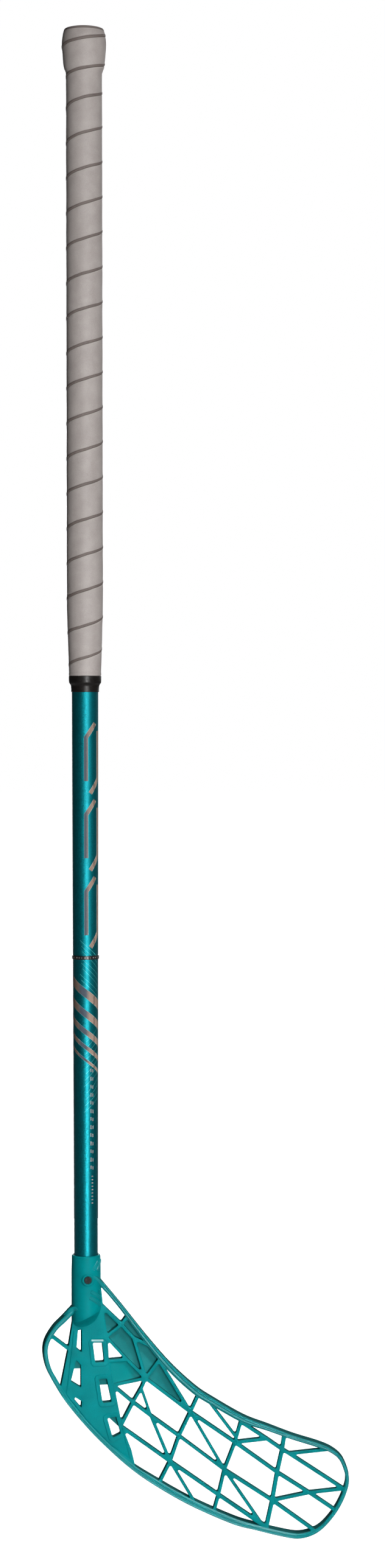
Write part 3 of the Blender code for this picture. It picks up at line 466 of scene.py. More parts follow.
def strip_inner(depth):
    """Radius of the strip's inner face, over the underlay and the knob's bulge."""
    bulge = smooth_value(KNOB_BULGE, depth / MM)
    return shaft_radius(depth) + STRIP_BORE_GAP + UNDERLAY_THICKNESS * stretch(depth) + bulge * MM


def seam_depth(turn):
    """Depth of the groove below a turn of the strip: closer together over the knob and at the grip's foot."""
    if turn < STRIP_KNOB_TURNS:
        tilt = between(turn, STRIP_KNOB_TURNS - 1, STRIP_KNOB_TURNS, STRIP_KNOB_TILT, 0)
        return STRIP_FIRST_SEAM_DEPTH + turn * STRIP_KNOB_PITCH - tilt * sin(2 * pi * turn)
    knob_foot = STRIP_FIRST_SEAM_DEPTH + STRIP_KNOB_TURNS * STRIP_KNOB_PITCH
    depth = knob_foot + (turn - STRIP_KNOB_TURNS) * STRIP_PITCH
    tail = GRIP_LENGTH - STRIP_TAIL_LENGTH
    if depth < tail:
        return depth
    return tail + (depth - tail) * STRIP_TAIL_PITCH / STRIP_PITCH


def edge_depth(turn):
    """Depth of the strip's lower edge, which wanders slightly because it is laid by hand."""
    wander = sum(size * sin(rate * turn + start) for size, rate, start in STRIP_WANDER)
    return seam_depth(turn) + SEAM_BELOW_GROOVE + wander * MM


def strip_section(turn):
    """Points round the strip's section at one place, and the number of the look that follows each."""
    top = max(edge_depth(turn - 1), STRIP_TOP_TRIM)
    foot = min(edge_depth(turn), GRIP_LENGTH)
    if foot - top < STRIP_BLUNT_END:
        return None
    rows = []
    for gap, height in UPPER_EDGE:
        # Look 2 on the upper edge is a painted highlight.
        rows.append((top + gap * MM, height, 2 if PAINTED_HIGHLIGHT_EDGE[0] < gap < PAINTED_HIGHLIGHT_EDGE[1] else 0))
    face_top = top + UPPER_EDGE[-1][0] * MM
    face_foot = foot + LOWER_EDGE[0][0] * MM
    for share in (k / STRIP_FACE_STEPS for k in range(1, STRIP_FACE_STEPS)):
        swell = sum(s * sin(rate * turn + across * share) for s, rate, across in STRIP_SWELL)
        rows.append((mix(face_top, face_foot, share), swell, 0))
    for gap, height in LOWER_EDGE:
        rows.append((foot + gap * MM, height, int(gap * MM > -SEAM_WIDTH and foot < GRIP_LENGTH)))
    for k in range(STRIP_INNER_STEPS + 1):
        rows.append((mix(foot, top, k / STRIP_INNER_STEPS), -STRIP_THICKNESS / MM, 0))
    points = []
    for depth, height, _ in rows:
        depth = clamp(depth, STRIP_TOP_TRIM, GRIP_LENGTH)
        radius = strip_inner(depth) + (STRIP_THICKNESS + height * MM) * stretch(depth)
        points.append(around(radius, -2 * pi * turn, depth))
    return points, [look for _, _, look in rows]


def make_grip_strip(looks):
    turns = [i / STRIP_STEPS for i in range(-STRIP_STEPS, STRIP_MOST_TURNS * STRIP_STEPS)]
    rows, kinds = zip(*filter(None, map(strip_section, turns)))
    marks = [look for section in kinds[1:] for look in section] + [0, 0]
    add_object("grip_strip", *tube(rows), "grip_tape", "grip_polyurethane", looks, 42, marks)


# The blade's lattice, drawn flat in (x, down) metres and given its heights point by point


def left_of(v):
    return Vector((-v.y, v.x))


def sideways(path, i):
    """Unit vector across an open run of points, towards the inside of the blade."""
    return left_of((path[min(i + 1, len(path) - 1)] - path[max(i - 1, 0)]).normalized())


def flat_points(pairs):
    return [Vector((x * MM, down * MM)) for x, down in pairs]


def rim_edges():
    """The rim's outer edge, inner edge and width, as open runs that match one to one."""
    path = smooth_path([Vector([v * MM for v in p]) for p in OUTLINE])
    outer = [p.to_2d() for p in path]
    inner = [p + sideways(outer, i) * path[i].z for i, p in enumerate(outer)]
    return outer, inner, [p.z for p in path]


def nearest_on_path(path, p):
    """The place along an open run of points, as index + share, that is nearest to p, and its position."""
    best = None
    for i, (a, b) in enumerate(zip(path, path[1:])):
        t = clamp((p - a).dot(b - a) / (b - a).length_squared)
        q = a.lerp(b, t)
        if best is None or (q - p).length < best[0]:
            best = ((q - p).length, i + t, q)
    return best[1:]


def rim_places(inner):
    """The points of the rim's inner edge in order, with the named ones in place of those close to them."""
    marks = [(i, None, p) for i, p in enumerate(inner)]
    for name, place in zip(RIM_POINTS, flat_points(RIM_POINTS.values())):
        where, place = nearest_on_path(inner, place)
        marks = [m for m in marks if m[1] or abs(m[0] - where) > RIM_POINT_SPACING]
        marks.append((where, name, place))
    marks.sort(key=lambda m: m[0])
    return {name or f"rim {i}": place for i, (_, name, place) in enumerate(marks)}


def lattice_graph(inner):
    """Places of all nodes, and for each node its neighbours with half the width of the bar between them."""
    where = rim_places(inner)
    bars = [(a, b, 0.0) for a, b in pairs_round(list(where))]
    where.update(zip(KNOTS, flat_points(KNOTS.values())))
    for name, (a, b, share) in KNOTS_ON_RIBS.items():
        where[name] = where[a].lerp(where[b], share)
    for runs, width in ((RIBS, RIB_WIDTH), (THIN_RIBS, THIN_RIB_WIDTH), (WIDE_RIBS, WIDE_RIB_WIDTH)):
        for names in map(str.split, runs):
            bars += [(a, b, width * MM / 2) for a, b in zip(names, names[1:])]
    links = {name: {} for name in where}
    for a, b, half in bars:
        links[a][b] = links[b][a] = half
    return where, links


def area_of(points):
    return 0.5 * sum(cross(a, b) for a, b in pairs_round(points))


def fields_of(where, links):
    """The closed fields of the lattice, each as a list of node names, by always turning the same way."""
    turns = {}
    for name, others in links.items():
        angles = {o: atan2(*(where[o] - where[name]).yx) for o in others}
        turns[name] = sorted(others, key=angles.get)
    seen = set()
    fields = []
    for u, v in [(a, b) for a in links for b in links[a]]:
        field = []
        while (u, v) not in seen:
            seen.add((u, v))
            field.append(u)
            u, v = v, turns[v][turns[v].index(u) - 1]
        if field and area_of([where[n] for n in field]) > 0:
            fields.append(field)
    return fields


def sides_of(field, where, links):
    """The field's sides: straight ribs, and stretches of rim as paths. Each is (path, half width)."""
    start = next(i for i in range(len(field)) if links[field[i - 1]][field[i]] > 0)
    sides = []
    for a, b in pairs_round(field[start:] + field[:start]):
        half = links[a][b]
        if half == 0 and sides and sides[-1][1] == 0:
            sides[-1][0].append(where[b])
        else:
            sides.append(([where[a], where[b]], half))
    return sides


def offset_line(side):
    """A point on a bar's edge, and the bar's direction."""
    path, half = side
    along = (path[-1] - path[0]).normalized()
    return path[0] + left_of(along) * half, along


def cross(a, b):
    return a.x * b.y - a.y * b.x


def cut_path(path, point, along):
    """Where the path first leaves the strip beside this line, and the rest of the path."""
    heights = [(p - point).dot(left_of(along)) for p in path]
    for i in range(len(path) - 1):
        if heights[i] <= 0 < heights[i + 1]:
            t = heights[i] / (heights[i] - heights[i + 1])
            return [path[i].lerp(path[i + 1], t)] + path[i + 1 :]
    return path


def opening_of(field, where, links):
    """The hole that the bars round a field leave, as (point, whether it is a corner)."""
    sides = sides_of(field, where, links)
    points = []
    for i, side in enumerate(sides):
        before = sides[i - 1]
        if side[1] == 0:
            path = cut_path(side[0], *offset_line(before))
            path = cut_path(path[::-1], *offset_line(sides[(i + 1) % len(sides)]))[::-1]
            points += [(p, k in (0, len(path) - 1)) for k, p in enumerate(path)]
        elif before[1] > 0:
            (p, u), (q, v) = offset_line(before), offset_line(side)
            if abs(cross(u, v)) < STRAIGHT_ON:
                points.append((side[0][0] + left_of(v) * side[1], False))
            else:
                points.append((p + u * (cross(q - p, v) / cross(u, v)), True))
    return points


def rounded(marked, radius, steps=5):
    """The outline with an arc at each marked corner, if there is room for one."""
    points = []
    for i, (p, is_corner) in enumerate(marked):
        ends = marked[i - 1], marked[(i + 1) % len(marked)]
        to_before, to_after = (q - p for q, _ in ends)
        room = is_corner and min(to_before.length, to_after.length) >= SAME_PLACE
        half = to_before.angle(to_after) / 2 if room else pi
        if half > BLUNTEST_CORNER:
            points.append(p)
            continue
        reach = radius / tan(half)
        for (_, at_corner), vector in zip(ends, (to_before, to_after)):
            reach = min(reach, vector.length * ARC_REACH[at_corner])
        u, v = to_before.normalized(), to_after.normalized()
        middle = p + (u + v).normalized() * (reach * tan(half) / sin(half))
        start, end = p + u * reach - middle, p + v * reach - middle
        turn = start.angle_signed(end)
        points += [middle + Matrix.Rotation(-turn * k / steps, 2) @ start for k in range(steps + 1)]
    return points


def split_long(points, longest, closed=True):
    """The outline with points added so that no side is longer."""
    made = []
    for p, q in pairs_round(points)[: None if closed else -1]:
        parts = max(1, ceil((q - p).length / longest))
        made += [p.lerp(q, k / parts) for k in range(parts)]
    return made if closed else [*made, points[-1]]


def mitred(u, v, distance, least):
    """How a corner between two directions moves when both its sides move to the right by a distance."""
    return -left_of(u + v).normalized() * distance / max(cos(u.angle(v, 0) / 2), least)


def grown(points, distance):
    """A closed outline moved outwards, or inwards if the distance is negative."""
    ways = [(q - p).normalized() for p, q in pairs_round(points)]
    return [p + mitred(ways[i - 1], ways[i], distance, MITRE_LIMIT) for i, p in enumerate(points)]


def inward(path, distance):
    """An open run of points moved sideways, towards the inside of the blade."""
    return [p + sideways(path, i) * distance for i, p in enumerate(path)]


def cut_across(polygon, a, b):
    """The part of a polygon above the line from a to b."""
    above = []
    for p, q in pairs_round(polygon):
        side_p, side_q = cross(b - a, p - a), cross(b - a, q - a)
        if side_p < 0:
            above.append(p)
        if side_p * side_q < 0:
            above.append(p.lerp(q, side_p / (side_p - side_q)))
    return above


def circle(centre, radius, steps=20):
    return [centre + Vector((cos(a), sin(a))) * radius for a in angles_of(steps)]


def nearest_on(points, path, closed=True):
    """For each point of an array, its distance to a path and the place along it, as index + share."""
    a = np.array([tuple(p) for p in path])
    b = np.roll(a, -1, axis=0)
    if not closed:
        a, b = a[:-1], b[:-1]
    along = b - a
    length = np.maximum((along**2).sum(1), 1e-18)
    found = []
    for p in np.array_split(points[:, None, :], len(points) // POINTS_AT_ONCE + 1):
        t = unit(((p - a) * along).sum(2) / length)
        gap = np.linalg.norm(p - (a + along * t[..., None]), axis=2)
        rows, best = np.arange(len(p)), gap.argmin(1)
        found.append((gap[rows, best], best + t[rows, best]))
    return np.concatenate(found, axis=1)


def gap_to(points, loops):
    """For each point of an array, its distance to the nearest of some closed outlines."""
    return np.min([nearest_on(points, loop)[0] for loop in loops], axis=0)


def inside_of(points, polygon):
    """For each point of an array, whether it lies in the polygon."""
    x, y = points[:, 0], points[:, 1]
    odd = np.zeros(len(points), bool)
    for a, b in pairs_round(polygon):
        if a.y != b.y:
            crosses = (a.y > y) != (b.y > y)
            odd ^= crosses & (x < a.x + (y - a.y) / (b.y - a.y) * (b.x - a.x))
    return odd


def unit(t):
    return np.clip(t, 0, 1)


def smooth_step(t):
    return unit(t) ** 2 * (3 - 2 * unit(t))


class Drawing:
    """The blade's flat drawing: closed zones, and lines that only shape the surface."""

    def __init__(self, outline):
        self.points = []
        self.edges = []
        self.zones = []
        self.kinds = []
        self.cut_edges = [outline]
        self.hole_edges = [outline]
        self.panel_edges = []
        self.zone(outline, "rim")

    def add(self, points):
        start = len(self.points)
        self.points += [tuple(p / MM) for p in points]
        return list(range(start, len(self.points)))

    def line(self, points, closed=True):
        pairs = pairs_round(self.add(points))
        self.edges += pairs if closed else pairs[:-1]

    def zone(self, points, kind):
        self.zones.append(self.add(points))
        self.kinds.append(kind)

    def opening(self, loop, kind):
        """A hole or a panel between the bars. Its edge is rounded in front, and a hole's also behind."""
        self.zone(loop, kind)
        self.cut_edges.append(loop)
        (self.hole_edges if kind == "hole" else self.panel_edges).append(loop)

    def hole(self, corners, ledge, radius, longest):
        """A hole with rounded corners, and with a sunk ledge above the line given for it."""
        loop = split_long(rounded([(p, True) for p in corners], radius), longest)
        self.opening(loop, "hole")
        if ledge:
            self.zone(cut_across(loop, *flat_points(ledge)), "ledge")

    def grid(self, features):
        """Points spread over the broad faces, clear of every line, so that they follow the blade's bend."""
        lines = [split_long(f, FEATURE_STEP) for f in features]
        tree = KDTree(sum(len(f) for f in lines))
        for i, p in enumerate(p for f in lines for p in f):
            tree.insert((p.x, p.y, 0), i)
        tree.balance()
        for i in range(*GRID_COLUMNS):
            for k in range(*GRID_ROWS):
                p = Vector(((i + 0.5 * (k % 2)) * GRID, k * GRID * GRID_SQUASH))
                if tree.find((p.x, p.y, 0))[2] > GRID_CLEARANCE:
                    self.add([p])

    def triangles(self):
        """The flat points as an array, and the triangles between them, each with the kind of its zone."""
        places = [Vector(p) for p in self.points]
        flat, _, faces, _, _, origins = delaunay_2d_cdt(places, self.edges, self.zones, 0, 1e-4)
        kinds = [self.kinds[max(zones)] if zones else "hole" for zones in origins]
        kept = [(tuple(face), kind) for face, kind in zip(faces, kinds) if kind != "hole"]
        return np.array([tuple(p) for p in flat]) * MM, kept


def rounding(distance):
    """Depth below the face of a rounded edge, at a distance in from the edge."""
    short = np.clip(EDGE_ROUND - distance, 0, EDGE_ROUND)
    return EDGE_ROUND - np.sqrt(EDGE_ROUND**2 - short**2)


def make_lattice(looks):
    """The rim, ribs, panels and heel plate: a surface in front, one behind, and walls between them."""
    outer, inner, widths = rim_edges()
    where, links = lattice_graph(inner)
    root = flat_points(OUTLINE_ROOT)
    drawing = Drawing(outer + root)
    drawing.zone(split_long(inner, FRAME_STEP), "rib")
    for field in fields_of(where, links):
        named = {n for n in field if not n.startswith("rim ")}
        if named != HEEL_PLATE:
            loop = split_long(rounded(opening_of(field, where, links), CORNER_RADIUS), FIELD_STEP)
            drawing.opening(loop, "ramp" if named == RAMP_PANEL else "panel" if named in PANELS else "hole")
    for corners, ledge in SLOTS:
        drawing.hole(flat_points(corners), ledge, SLOT_CORNER_RADIUS, SLOT_STEP)
    frames = []
    for corners, ledge in FRAMED_OPENINGS:
        corners = flat_points(corners)
        border = rounded([(p, True) for p in grown(corners, FRAME_BORDER)], FRAME_BORDER)
        frames.append(split_long(border, FRAME_STEP))
        drawing.line(frames[-1])
        drawing.line(grown(frames[-1], -FRAME_SLOPE))
        drawing.hole(corners, ledge, CORNER_RADIUS, FRAME_STEP)
    bore = ((-1, -MM), (1, -MM), (1, BORE_DEPTH), (-1, BORE_DEPTH))
    drawing.zone([Vector((side * BORE_RADIUS, down)) for side, down in bore], "hole")

    # Lines that shape the rounded edges, the rim's beads, the flares of the ribs and the engraving
    for k in range(1, EDGE_STEPS + 1):
        inset = EDGE_ROUND * (1 - cos(radians(90 * k / EDGE_STEPS)))
        drawing.line(inward(outer, inset) + root)
        for loop in drawing.cut_edges[1:]:
            drawing.line(grown(loop, inset))
    for loop in drawing.panel_edges:
        for share in (0.5, 1):
            drawing.line(grown(loop, -PANEL_FILLET_REACH * share))
    for share in RIM_SHARES[1:-1]:
        drawing.line([o.lerp(i, share) for o, i in zip(outer, inner)] + root)
    for share in (0.5, 1):
        drawing.line(inward(inner, FLARE_LENGTH * share), closed=False)
    engraved = [flat_points(run) for run in ENGRAVED_LINES]
    for run in engraved:
        for side in (-1, 0, 1):
            drawing.line(inward(run, side * ENGRAVED_HALF_WIDTH), closed=False)
    spots = [where[name] for name in EJECTOR_KNOTS] + flat_points(EJECTOR_PLACES)
    for spot in spots:
        for side in (-1, 0, 1):
            drawing.line(circle(spot, EJECTOR_RADIUS + side * EJECTOR_LINE))
    drawing.grid(drawing.cut_edges + frames + engraved + [circle(p, EJECTOR_RADIUS) for p in spots])

    flat, triangles = drawing.triangles()
    x = flat[:, 0]
    from_outside, place = nearest_on(flat, outer, closed=False)
    raised = rim_raise(from_outside, np.interp(place, range(len(outer)), widths), place / (len(outer) - 1))
    for loop in frames:
        depth_in = np.where(inside_of(flat, loop), nearest_on(flat, loop)[0], 0)
        raised = np.maximum(raised, FRAME_HEIGHT * smooth_step(depth_in / FRAME_SLOPE))
    for run in engraved:
        raised -= ENGRAVED_DEPTH * unit(1 - nearest_on(flat, run, closed=False)[0] / ENGRAVED_HALF_WIDTH)
    for spot in spots:
        from_line = abs(np.linalg.norm(flat - np.array(tuple(spot)), axis=1) - EJECTOR_RADIUS)
        raised -= EJECTOR_DEPTH * unit(1 - from_line / EJECTOR_LINE)
    toe = max(p[0] for p in OUTLINE) * MM
    thickness = mix(RIB_THICKNESS_HEEL, RIB_THICKNESS_TOE, unit(x / toe))
    face = np.full(len(flat), -RIM_THICKNESS / 2 + RIB_RECESS)
    back = face + thickness
    fillet = PANEL_FILLET * unit(1 - gap_to(flat, drawing.panel_edges) / PANEL_FILLET_REACH) ** 2
    ramp = smooth_step((x - RAMP_X[0]) / (RAMP_X[1] - RAMP_X[0]))
    rib = face - raised + rounding(gap_to(flat, drawing.cut_edges))
    behind = rounding(gap_to(flat, drawing.hole_edges))
    levels = {
        "rim": (rib, RIM_THICKNESS / 2 - behind),
        "rib": (rib, back - behind),
        "panel": (back - PANEL_THICKNESS - fillet, back - behind),
        "ramp": (face + mix(RAMP_START, thickness - PANEL_THICKNESS, ramp) - fillet, back - behind),
        "ledge": (face + LEDGE_SINK, back),
    }
    points, faces, marks = solid_between(flat, triangles, levels)
    add_object("blade_lattice", points, faces, "blade", "blade_plastic", looks, 28, marks)


def rim_raise(from_outside, width, along):
    """How far the rim stands over the ribs: beads along it, of another shape on each side of the blade."""
    ends = (0, *RIM_TURNS, 1)
    heights = 0
    for start, end, shape in zip(ends, ends[1:], (RIM_TOP, RIM_ROUND, RIM_LOW, RIM_ROUND)):
        rise = smooth_step((along - start) / RIM_TURN + 0.5) if start > 0 else 1
        fall = 1 - smooth_step((along - end) / RIM_TURN + 0.5) if end < 1 else 1
        heights = heights + np.interp(from_outside / width, RIM_SHARES, shape) * rise * fall
    return heights * MM * (1 - smooth_step((from_outside - width) / FLARE_LENGTH))


def bend(x, down, behind):
    """A point of the flat drawing on the bent blade, some way behind its middle surface."""
    slope = BLADE_YAW - x / BLADE_CURVE_RADIUS
    middle = BLADE_YAW * x - x * x / (2 * BLADE_CURVE_RADIUS)
    angle = atan(slope)
    return Vector((x - behind * sin(angle), middle + behind * cos(angle), -MOUTH_DEPTH - down))


def solid_between(flat, triangles, levels):
    """Closed mesh between front and back heights, with upright walls where zones of unlike height meet."""
    front, back = ({kind: np.round(pair[k], 7) for kind, pair in levels.items()} for k in (0, 1))
    heights = {}
    for face, kind in triangles:
        for i in face:
            heights.setdefault(i, set()).update((front[kind][i], back[kind][i]))
    points = []
    index = {}

    def point(i, level):
        if (i, level) not in index:
            index[i, level] = len(points)
            points.append(bend(*flat[i], level))
        return index[i, level]

    faces = []
    marks = []
    beside = {}
    for face, kind in triangles:
        faces.append(tuple(point(i, front[kind][i]) for i in face))
        faces.append(tuple(point(i, back[kind][i]) for i in reversed(face)))
        marks += [LOOK_OF[kind], 0]
        for pair in pairs_round(face):
            beside[pair] = kind

    def column(i, start, end):
        passed = sorted(v for v in heights[i] if min(start, end) < v < max(start, end))
        return [point(i, v) for v in (start, *passed[:: -1 if start > end else 1], end)]

    def wall(a, b, start, end):
        loop = column(a, start[a], end[a]) + column(b, end[b], start[b])
        clean = [v for k, v in enumerate(loop) if v != loop[k - 1]]
        if len(clean) > 2:
            faces.append(tuple(clean))
            marks.append(LOOK_OF["wall"])

    for (a, b), kind in beside.items():
        other = beside.get((b, a))
        if other is None:
            wall(a, b, front[kind], back[kind])
        elif other != kind:
            if all(front[kind][i] <= front[other][i] for i in (a, b)):
                wall(a, b, front[kind], front[other])
            if all(back[kind][i] >= back[other][i] for i in (a, b)):
                wall(a, b, back[other], back[kind])
    return points, faces, marks


# Socket of the blade: a round body with a boss, raised bars and the rims running into it


def socket_relief(arc, down):
    """Height over the socket's plain skin, at distances round it from its front and below its mouth."""
    turn = arc / SOCKET_RADIUS
    from_screw = np.hypot(SOCKET_RADIUS * np.sin(turn), down - SCREW_DOWN)
    bulge = SOCKET_RADIUS * (1 / np.cos(np.clip(turn, -1, 1)) - 1)
    boss = smooth_step((BOSS_FOOT_RADIUS - from_screw) / (BOSS_FOOT_RADIUS - BOSS_TOP_RADIUS))
    lip = smooth_step((from_screw - BOSS_POCKET_RADIUS) / BOSS_LIP)
    in_front = np.abs(turn) < pi / 2
    return in_front * boss * (BOSS_HEIGHT * mix(BOSS_FLOOR, 1, lip) + bulge)


def socket_radius(depth):
    """Radius of the socket where it swells below its mouth, and further down."""
    t = clamp((depth - MOUTH_DEPTH - SOCKET_LIP) / (SOCKET_SWELL_DOWN - SOCKET_LIP))
    return mix(SOCKET_MOUTH_RADIUS, SOCKET_RADIUS, 1 - (1 - t) ** 2)


def shares(length):
    """Shares, up to 1, of a length that is divided into steps of about SOCKET_STEP."""
    count = round(length / SOCKET_STEP)
    return [k / count for k in range(1, count + 1)]


def socket_rows():
    """(down at the middle, tilt, radius, share of its depth) of the rings down the socket's outside."""
    rows = []
    for turn in (radians(90 * k / LIP_STEPS) for k in range(LIP_STEPS, -1, -1)):
        radius = SOCKET_MOUTH_RADIUS - SOCKET_LIP * (1 - cos(turn))
        rows.append((SOCKET_LIP * (1 - sin(turn)), 0, radius, 1))
    for t in shares(SOCKET_SWELL_DOWN):
        down = mix(SOCKET_LIP, SOCKET_SWELL_DOWN, t)
        rows.append((down, 0, socket_radius(MOUTH_DEPTH + down), 1))
    for t in shares(SOCKET_ROUND_DOWN - SOCKET_SWELL_DOWN):
        rows.append((mix(SOCKET_SWELL_DOWN, SOCKET_ROUND_DOWN, t), SOCKET_ROUND_TILT * t, SOCKET_RADIUS, 1))
    for t in shares(SOCKET_FOOT_FINENESS * (SOCKET_FOOT_DOWN - SOCKET_ROUND_DOWN)):
        soft = (hypot(t, SOCKET_CREASE) - SOCKET_CREASE) / (hypot(1, SOCKET_CREASE) - SOCKET_CREASE)
        squash = mix(1, SOCKET_FOOT_SQUASH, 1 - (1 - soft) ** SOCKET_FOOT_ROUNDING)
        tilt = mix(SOCKET_ROUND_TILT, SOCKET_FOOT_TILT, t)
        radius = SOCKET_RADIUS * mix(1, SOCKET_FOOT_NARROW, t)
        rows.append((mix(SOCKET_ROUND_DOWN, SOCKET_FOOT_DOWN, t), tilt, radius, squash))
    return rows


def make_socket(look):
    angles = np.array(angles_of(SOCKET_ANGLES)) - pi
    bore = ((BORE_DEPTH, BORE_RADIUS), (BORE_CHAMFER, BORE_RADIUS), (0, BORE_RADIUS + BORE_CHAMFER))
    rows = [[around(radius, a, MOUTH_DEPTH + down) for a in angles] for down, radius in bore]
    for down, tilt, radius, squash in socket_rows():
        lowered = down - tilt * radius * np.sin(angles)
        relief = socket_relief(angles * SOCKET_RADIUS, lowered) if down > SOCKET_LIP else 0 * angles
        ring = zip(radius + relief, angles, MOUTH_DEPTH + lowered)
        rows.append([around(r, a, depth, squash) for r, a, depth in ring])
    points, faces = tube(rows, flipped=True)
    points = [Matrix.Rotation(BLADE_TURN, 4, "Z") @ p for p in points]
    return add_object("blade_socket", points, faces, "blade", "blade_plastic", [look], 60)


def make_run_in_bars(looks):
    """Domed ends of the rim that run over the socket and sink into it."""
    bars = []
    marks = []
    turns = [radians(15 * k - 90) for k in range(13)]
    for stations in RUN_IN_BARS:
        path = smooth_path([Vector(s) * MM for s in stations], RUN_IN_STEPS)
        flat = [Vector((x, down)) for x, _, down, _ in path]
        rows = []
        for i, (x, front, down, half) in enumerate(path):
            side = sideways(flat, i)
            section = [(half * sin(t), front + RUN_IN_DOME * half * (1 - cos(t))) for t in turns]
            section += [(half, front + RUN_IN_DEPTH), (-half, front + RUN_IN_DEPTH)]
            rows.append([Vector((x + side.x * s, y, -MOUTH_DEPTH - down - side.y * s)) for s, y in section])
        bars.append(tube(rows))
        # The steep sides and backs of these bars take the wall look, which is painted shade.
        marks += [int(k in (0, 1) or k > 9) for k in range(len(section))] * (len(rows) - 1) + [1, 1]
    add_object("blade_run_in_bars", *joined(bars), "blade", "blade_plastic", looks, 50, marks)


def make_raised_bars(look):
    front = BLADE_TURN * SOCKET_RADIUS / MM
    mouth = MOUTH_DEPTH / MM
    bars = [([(arc + front, mouth + down) for arc, down in path], half) for path, half in RAISED_BARS]
    part = ("blade", "blade_plastic", socket_radius, RAISED_BAR_SLOPE)
    add_ribbons("blade_raised_bars", bars, look, RAISED_BAR_HEIGHT, *part)


def make_accent(look):
    """Thin white foil on the first frame of the heel plate."""
    face = -RIM_THICKNESS / 2 + RIB_RECESS - FRAME_HEIGHT
    rows = [[bend(*p, face + lift) for p in flat_points(ACCENT)] for lift in (-ACCENT_LIFT, ACCENT_LIFT)]
    add_object("blade_accent", *tube(rows), "blade", "blade_plastic", [look])


def polar(radius, angle, height):
    return Vector((radius * cos(angle), radius * sin(angle), height))


def on_screw_axis(rows):
    """A tube given about Z, placed on the screw's axis. Heights run from the shaft's middle to the front."""
    out = Vector((sin(BLADE_TURN), -cos(BLADE_TURN), 0))
    turn = out.to_track_quat("Z", "Y").to_matrix().to_4x4()
    place = Matrix.Translation((0, 0, -MOUTH_DEPTH - SCREW_DOWN)) @ turn
    points, faces = tube(rows, flipped=True)
    return [place @ p for p in points], faces


def cut_round(obj, radius, low, high, steps=64):
    """Cuts a round hole along the screw's axis, between two distances from the shaft's middle."""
    rows = [[polar(radius, a, height) for a in angles_of(steps)] for height in (low, high)]
    cutter = in_scene("cutter", mesh_of("cutter", *on_screw_axis(rows)))
    modifier = obj.modifiers.new("cut", "BOOLEAN")
    modifier.operation = "DIFFERENCE"
    modifier.solver = "EXACT"
    modifier.object = cutter
    shaped = bpy.data.meshes.new_from_object(obj.evaluated_get(bpy.context.evaluated_depsgraph_get()))
    obj.modifiers.remove(modifier)
    obj.data = shaped
    bpy.data.objects.remove(cutter)


def make_screw(look):
    """Pan head with a cross recess, on a plain shank with a tapered tip."""
    under = SCREW_SEAT + SCREW_GAP
    top = under + SCREW_HEAD_HEIGHT
    tip = under - SCREW_LENGTH
    profile = [
        (0.5 * MM, tip),
        (SCREW_SHANK_RADIUS, tip + SCREW_SHANK_RADIUS),
        (SCREW_SHANK_RADIUS, under),
        (SCREW_HEAD_RADIUS, under),
        (SCREW_HEAD_RADIUS, top - 0.6 * MM),
        (SCREW_HEAD_RADIUS - 0.08 * MM, top - 0.4 * MM),
        (SCREW_HEAD_RADIUS - 0.25 * MM, top - 0.3 * MM),
    ]
    profile += [(r * MM, top - SCREW_DOME * (r * MM / SCREW_HEAD_RADIUS) ** 2) for r in (2.45, 2.0, 1.7)]
    angles = angles_of(SCREW_STEPS)
    rows = [[polar(radius, a, height) for a in angles] for radius, height in profile]
    # Cross recess: its edge, then its floor
    lobes = [(0.55 + 1.05 * abs(cos(2 * a)) ** 3) * MM for a in angles]
    for reach, sink in ((1.0, 0.05 * MM), (0.92, SCREW_RECESS_DEPTH), (0.3, 1.4 * SCREW_RECESS_DEPTH)):
        rows.append([polar(reach * lobe, a, top - sink) for lobe, a in zip(lobes, angles)])
    add_object("pan_head_screw", *on_screw_axis(rows), "blade_screw", "black_screw", [look])


# Shaft, ring, cap and band


def make_shaft(look):
    depths = [SHAFT_TOP_DEPTH, CONE_TOP_DEPTH - CONE_EASE, CONE_TOP_DEPTH, CONE_FOOT_DEPTH]
    depths += [CONE_FOOT_DEPTH + CONE_EASE]
    depths += [mix(CONE_FOOT_DEPTH, SHAFT_FOOT_DEPTH, k / 12) for k in range(1, 13)]
    profile = [(d, shaft_radius(d)) for d in depths]
    profile += [(d, shaft_radius(d) - SHAFT_WALL) for d in reversed(depths)]
    shaft = add_object("shaft_tube", *turned(profile, 128), "shaft", "teal_paint", [look])
    cut_round(shaft, SCREW_SHANK_RADIUS + SCREW_GAP, 0, 2 * SHAFT_TIP_RADIUS, 24)


def make_butt_cap(look):
    """Plug inside the tube and skirt outside it, with a dished top and a bead along its edge."""
    bead = ((0.1, -2.6), (0, -2.0), (0, -1.0), (0.12, -0.5), (0.35, -0.3), (0.9, -0.15), (2, 0))
    profile = [(CAP_DISH, 0), (CAP_DISH, CAP_RADIUS - 3.6 * MM)]
    profile += [(depth * MM, CAP_RADIUS + out * MM) for depth, out in bead]
    skirt = (3, 5, 8, 11.5, 15, 18.5, 24, 29, 33)
    profile += [(depth * MM, strip_inner(depth * MM) - CAP_UNDER_STRIP) for depth in skirt]
    inner = SHAFT_GRIP_RADIUS + CAP_TUBE_GAP
    plug = SHAFT_GRIP_RADIUS - SHAFT_WALL - CAP_TUBE_GAP
    profile += [
        (33 * MM, inner), (SHAFT_TOP_DEPTH, inner), (SHAFT_TOP_DEPTH, plug), (24.5 * MM, plug),
        (26 * MM, plug - 0.6 * MM), (26 * MM, plug - 1.8 * MM), (CAP_DISH + 2 * MM, plug - 1.8 * MM),
        (CAP_DISH + 2 * MM, 0),
    ]
    add_object("butt_cap", *turned(profile), "end_cap", "grip_underlay", [look])


